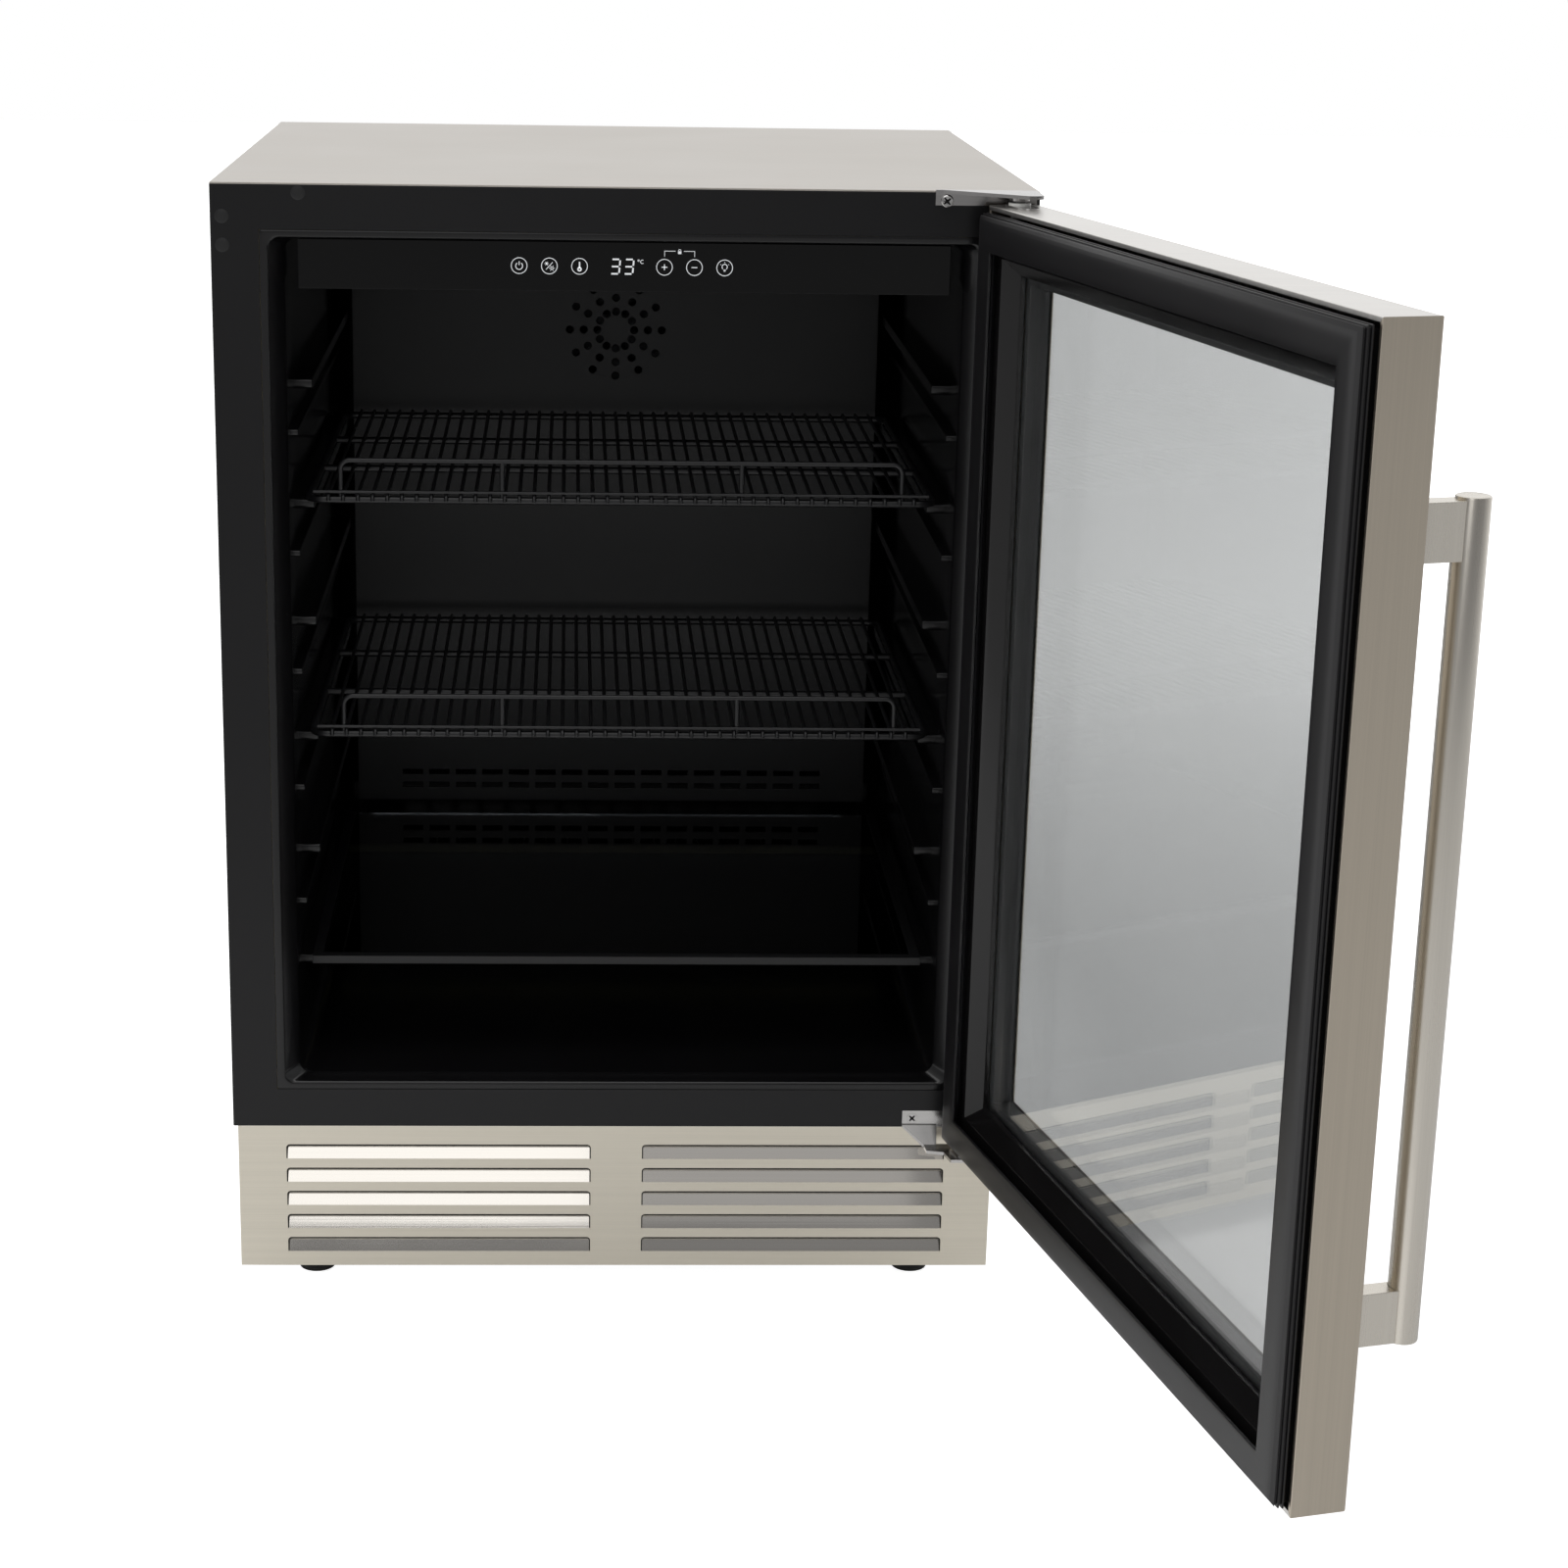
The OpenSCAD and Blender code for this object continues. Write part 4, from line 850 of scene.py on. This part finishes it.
stroke([(49.9, IZ + 7.6), (49.9, IZ + 11.6), (LX + 3.0, IZ + 11.6)], 0.4)
stroke([(LX - 1.2, IZ + 10.6), (LX + 1.2, IZ + 10.6)], 2.0)
circ(LX, IZ + 11.9, 0.9, 0, 180, 0.45, 12)


def seg7(cx, cz, on, w=6.4, h=10.4, t=1.15, slant=0.08):
    hh = h / 2
    spots = {"a": ((-1, 1), (1, 1)), "b": ((1, 1), (1, 0)), "c": ((1, 0), (1, -1)), "d": ((-1, -1), (1, -1)),
             "e": ((-1, 0), (-1, -1)), "f": ((-1, 1), (-1, 0)), "g": ((-1, 0), (1, 0))}
    for s in on:
        (ax, az), (bx, bz) = spots[s]
        p, q = Vector((ax * w / 2, az * hh)), Vector((bx * w / 2, bz * hh))
        d = (q - p).normalized() * 0.75
        p, q = p + d, q - d
        stroke([(cx + p.x + slant * p.y, cz + p.y), (cx + q.x + slant * q.y, cz + q.y)], t)


for x in (-7.4, 2.4):
    seg7(x, IZ + 0.1, "abcdg")
circ(9.4, IZ + 4.6, 0.55, w=0.4, n=14)
circ(12.1, IZ + 3.7, 1.25, 50, 310, 0.45, 16)
o = join("touch_symbols", [scaled(q) for q in strokes], M["icon"], "cabinet", smooth=0, slot="lamp")

# ---------------------------------------------------------------- hinge screws
SH_LO, SH_HI = mm_box("hinge_screws")


def head(x, y, z, r, tall, turn):
    """A cross-recessed head whose rim is at y, facing -Y, and a black cross and ring, a painted shade for its
    recessed cross.
    """
    prof = [(0.0, tall - 0.35), (r * 0.45, tall - 0.30), (r * 0.72, tall - 0.05), (r * 0.80, tall),
            (r * 0.93, tall * 0.75), (r, 0.15), (r, 0.0), (r * 0.3, -0.15), (0.0, -0.15)]
    steel_part = lathe(prof, (x, y, z), "-y", 40)
    # the black cross and ring below paint the shade of the recessed cross
    cross = []
    for q in (turn, turn + 90):
        ca, sa = math.cos(math.radians(q)), math.sin(math.radians(q))
        pts = [(-2.9, -0.45), (-0.6, -0.75), (0.6, -0.75), (2.9, -0.45), (2.9, 0.45), (0.6, 0.75),
               (-0.6, 0.75), (-2.9, 0.45)]
        poly = [(x + (px * ca - pz * sa) * r / 4.2, z + (px * sa + pz * ca) * r / 4.2) for px, pz in pts]
        cross.append(scaled(extrude_xz(poly, y - tall - 0.05 - 0.02 * (q > turn), y - tall + 0.5)))
    ring = [(r * 0.90, 0.03), (r * 0.99, 0.03), (r * 0.99, 0.12), (r * 0.90, 0.12), (r * 0.90, 0.03)]
    cross.append(scaled(lathe(ring, (x, y, z), "-y", 40)))
    return scaled(steel_part), cross


heads, screw_recess_shade = [], []
lower = (230.8, 1.0, 150.0, 4.3, 1.0, 47)
upper = (SH_LO.x + 4.7, SH_LO.y + 1.96, SH_HI.z - 4.7, 4.6, 2.0, 40)
for x, y, z, r, tall, turn in (lower, upper):
    a, c = head(x, y, z, r, tall, turn)
    heads.append(a)
    screw_recess_shade += c
o = join("hinge_screw_heads", heads, M["zinc"], "cabinet", smooth=30, slot="zinc_plated_steel")
fix_normals(o)
# black crosses and rings on the heads: painted shade
o = join("hinge_screw_recess_painted_shade", screw_recess_shade, M["painted_shade"], "cabinet", smooth=0, slot="black_plastic")
fix_normals(o)

# ---------------------------------------------------------------- hole plugs
pl_lo, pl_hi = mm_box("hole_plugs")
PLUG_R, MIDDLE_PLUG_Z = 5.2, 842.0
parts = []
for x, z in ((pl_hi.x - PLUG_R, pl_hi.z - PLUG_R), (pl_lo.x + PLUG_R, MIDDLE_PLUG_Z),
             (pl_lo.x + PLUG_R, pl_lo.z + PLUG_R)):
    prof = [(0.0, 0.5), (1.6, 0.47), (3.0, 0.38), (4.2, 0.24), (4.9, 0.08), (PLUG_R, -0.02), (3.0, -0.05),
            (3.0, -0.95), (0.0, -0.95)]
    parts.append(scaled(lathe(prof, (x, 0, z), "-y", 40)))
o = join("plugs", parts, M["black"], "cabinet", smooth=30, slot="black_plastic")
fix_normals(o)
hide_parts("hole_plugs")

# ---------------------------------------------------------------- floor, light, camera
fl, nt, b = material("studio_floor")
tc = node(nt, "ShaderNodeTexCoord")
sx = node(nt, "ShaderNodeSeparateXYZ")
nt.links.new(tc.outputs["Object"], sx.inputs[0])


def fade(src, lo, hi):
    r = node(nt, "ShaderNodeMapRange")
    r.interpolation_type = "SMOOTHSTEP"
    r.inputs["From Min"].default_value, r.inputs["From Max"].default_value = lo, hi
    nt.links.new(src, r.inputs["Value"])
    return r.outputs["Result"]


def calc(op, first, second):
    n = node(nt, "ShaderNodeMath", operation=op)
    for i, q in enumerate((first, second)):
        if isinstance(q, (int, float)):
            n.inputs[i].default_value = q
        else:
            nt.links.new(q, n.inputs[i])
    return n.outputs[0]


# bright in front of the kick plate and behind, a grey room's floor to the front and the right
left = calc("SUBTRACT", 1.0, fade(sx.outputs["X"], 0.30, 0.52))
near = calc("MULTIPLY", left, fade(sx.outputs["Y"], -1.3, -0.7))
pale = calc("MAXIMUM", near, fade(sx.outputs["Y"], 0.6, 2.6))
nt.links.new(ramp(nt, pale, [(0.0, (0.50, 0.50, 0.50)), (1.0, (0.92, 0.92, 0.92))]), b.inputs["Base Color"])
b.inputs["Roughness"].default_value = 0.8
b.inputs["Specular IOR Level"].default_value = 0.1
# the floor glows: white to the camera, and a painted glow for transmission and glossy rays standing in for light
# on the floor seen through the glass and in the steel
lp = node(nt, "ShaderNodeLightPath")
floor_painted_glow = node(nt, "ShaderNodeEmission")
seen = calc("MULTIPLY", lp.outputs["Is Camera Ray"], 0.9)
through = calc("MULTIPLY", lp.outputs["Is Transmission Ray"], 0.21)
glossy_painted_glow = calc("MULTIPLY", lp.outputs["Is Glossy Ray"], 0.16)
power = calc("MAXIMUM", seen, calc("MAXIMUM", through, glossy_painted_glow))
nt.links.new(power, floor_painted_glow.inputs["Strength"])
add = node(nt, "ShaderNodeAddShader")
nt.links.new(b.outputs[0], add.inputs[0])
nt.links.new(floor_painted_glow.outputs[0], add.inputs[1])
nt.links.new(add.outputs[0], nt.nodes["Material Output"].inputs["Surface"])
me = bpy.data.meshes.new("floor")
HALF_FLOOR, FLOOR_DROP = 12, -0.0004
corners = [(u * HALF_FLOOR, v * HALF_FLOOR, FLOOR_DROP) for u, v in ((-1, -1), (1, -1), (1, 1), (-1, 1))]
me.from_pydata(corners, [], [(0, 1, 2, 3)])
me.materials.append(fl)
floor = bpy.data.objects.new("floor", me)
SC.collection.objects.link(floor)

# a bright backdrop, softer sides and a dim room behind the camera
w = bpy.data.worlds.new("studio")
SC.world = w
w.use_nodes = True
nt = w.node_tree
for n in list(nt.nodes):
    nt.nodes.remove(n)
out = node(nt, "ShaderNodeOutputWorld")
tc = node(nt, "ShaderNodeTexCoord")
sx = node(nt, "ShaderNodeSeparateXYZ")
nt.links.new(tc.outputs["Generated"], sx.inputs[0])
fy = node(nt, "ShaderNodeMapRange")
fy.inputs["From Min"].default_value = -1.0
nt.links.new(sx.outputs["Y"], fy.inputs["Value"])
walls = ramp(nt, fy.outputs["Result"], [
    (0.0, (0.19, 0.19, 0.195)), (0.22, (0.24, 0.24, 0.245)), (0.5, (0.50, 0.50, 0.505)),
    (0.75, (0.82, 0.82, 0.82)), (1.0, (1, 1, 1))])
fz = node(nt, "ShaderNodeMapRange")
fz.inputs["From Min"].default_value, fz.inputs["From Max"].default_value = 0.35, 0.95
nt.links.new(sx.outputs["Z"], fz.inputs["Value"])
mixc = node(nt, "ShaderNodeMixRGB")
nt.links.new(fz.outputs["Result"], mixc.inputs["Fac"])
nt.links.new(walls, mixc.inputs["Color1"])
mixc.inputs["Color2"].default_value = (0.80, 0.80, 0.80, 1)
bg = node(nt, "ShaderNodeBackground")
nt.links.new(mixc.outputs["Color"], bg.inputs["Color"])
bg_thru = node(nt, "ShaderNodeBackground")
bg_thru.inputs["Color"].default_value = (0.72, 0.72, 0.73, 1)
bg_cam = node(nt, "ShaderNodeBackground")
bg_cam.inputs["Color"].default_value = (1, 1, 1, 1)
lp = node(nt, "ShaderNodeLightPath")
mx1 = node(nt, "ShaderNodeMixShader")
nt.links.new(lp.outputs["Is Transmission Ray"], mx1.inputs["Fac"])
nt.links.new(bg.outputs[0], mx1.inputs[1])
nt.links.new(bg_thru.outputs[0], mx1.inputs[2])
mx = node(nt, "ShaderNodeMixShader")
nt.links.new(lp.outputs["Is Camera Ray"], mx.inputs["Fac"])
nt.links.new(mx1.outputs[0], mx.inputs[1])
nt.links.new(bg_cam.outputs[0], mx.inputs[2])
nt.links.new(mx.outputs[0], out.inputs["Surface"])


def area(name, at, aim, size, power, colour=(1, 1, 1)):
    ld = bpy.data.lights.new(name, "AREA")
    ld.shape = "RECTANGLE"
    ld.size, ld.size_y = size
    ld.energy = power
    ld.color = colour
    lo = bpy.data.objects.new(name, ld)
    lo.location = at
    lo.rotation_euler = (Vector(aim) - Vector(at)).to_track_quat("-Z", "Y").to_euler()
    SC.collection.objects.link(lo)
    return lo


area("key_top", (-0.3, -0.2, 3.0), (0, 0.1, 0.4), (2.4, 2.4), 22)
area("card_front", (-0.49, -2.42, 1.52), (-0.49, 0, 1.52), (1.02, 0.80), 2.9)
area("card_dim", (0.28, -2.42, 1.30), (0.28, 0, 1.30), (0.50, 0.34), 0.10)

cam = bpy.data.cameras.new("camera")
cam.lens = 71.2489275
cam.sensor_width = 36
cam.shift_x = 0.0689
cam.shift_y = -0.00755625
cam.clip_start, cam.clip_end = 0.05, 60
co = bpy.data.objects.new("camera", cam)
yaw, pitch, roll = -0.036094, -0.279806, -0.015623
R = Matrix.Rotation(yaw, 3, "Z") @ Matrix.Rotation(pitch, 3, "X") @ Matrix.Rotation(roll, 3, "Y")
right, fwd, up = R.col[0], R.col[1], R.col[2]
mw = Matrix.Identity(4)
for i in range(3):
    mw[i][0], mw[i][1], mw[i][2] = right[i], up[i], -fwd[i]
mw[0][3], mw[1][3], mw[2][3] = -0.0392706, -2.2491993, 1.0772220
co.matrix_world = mw
SC.collection.objects.link(co)
SC.camera = co
SC.view_settings.view_transform = "Standard"
SC.view_settings.look = "None"
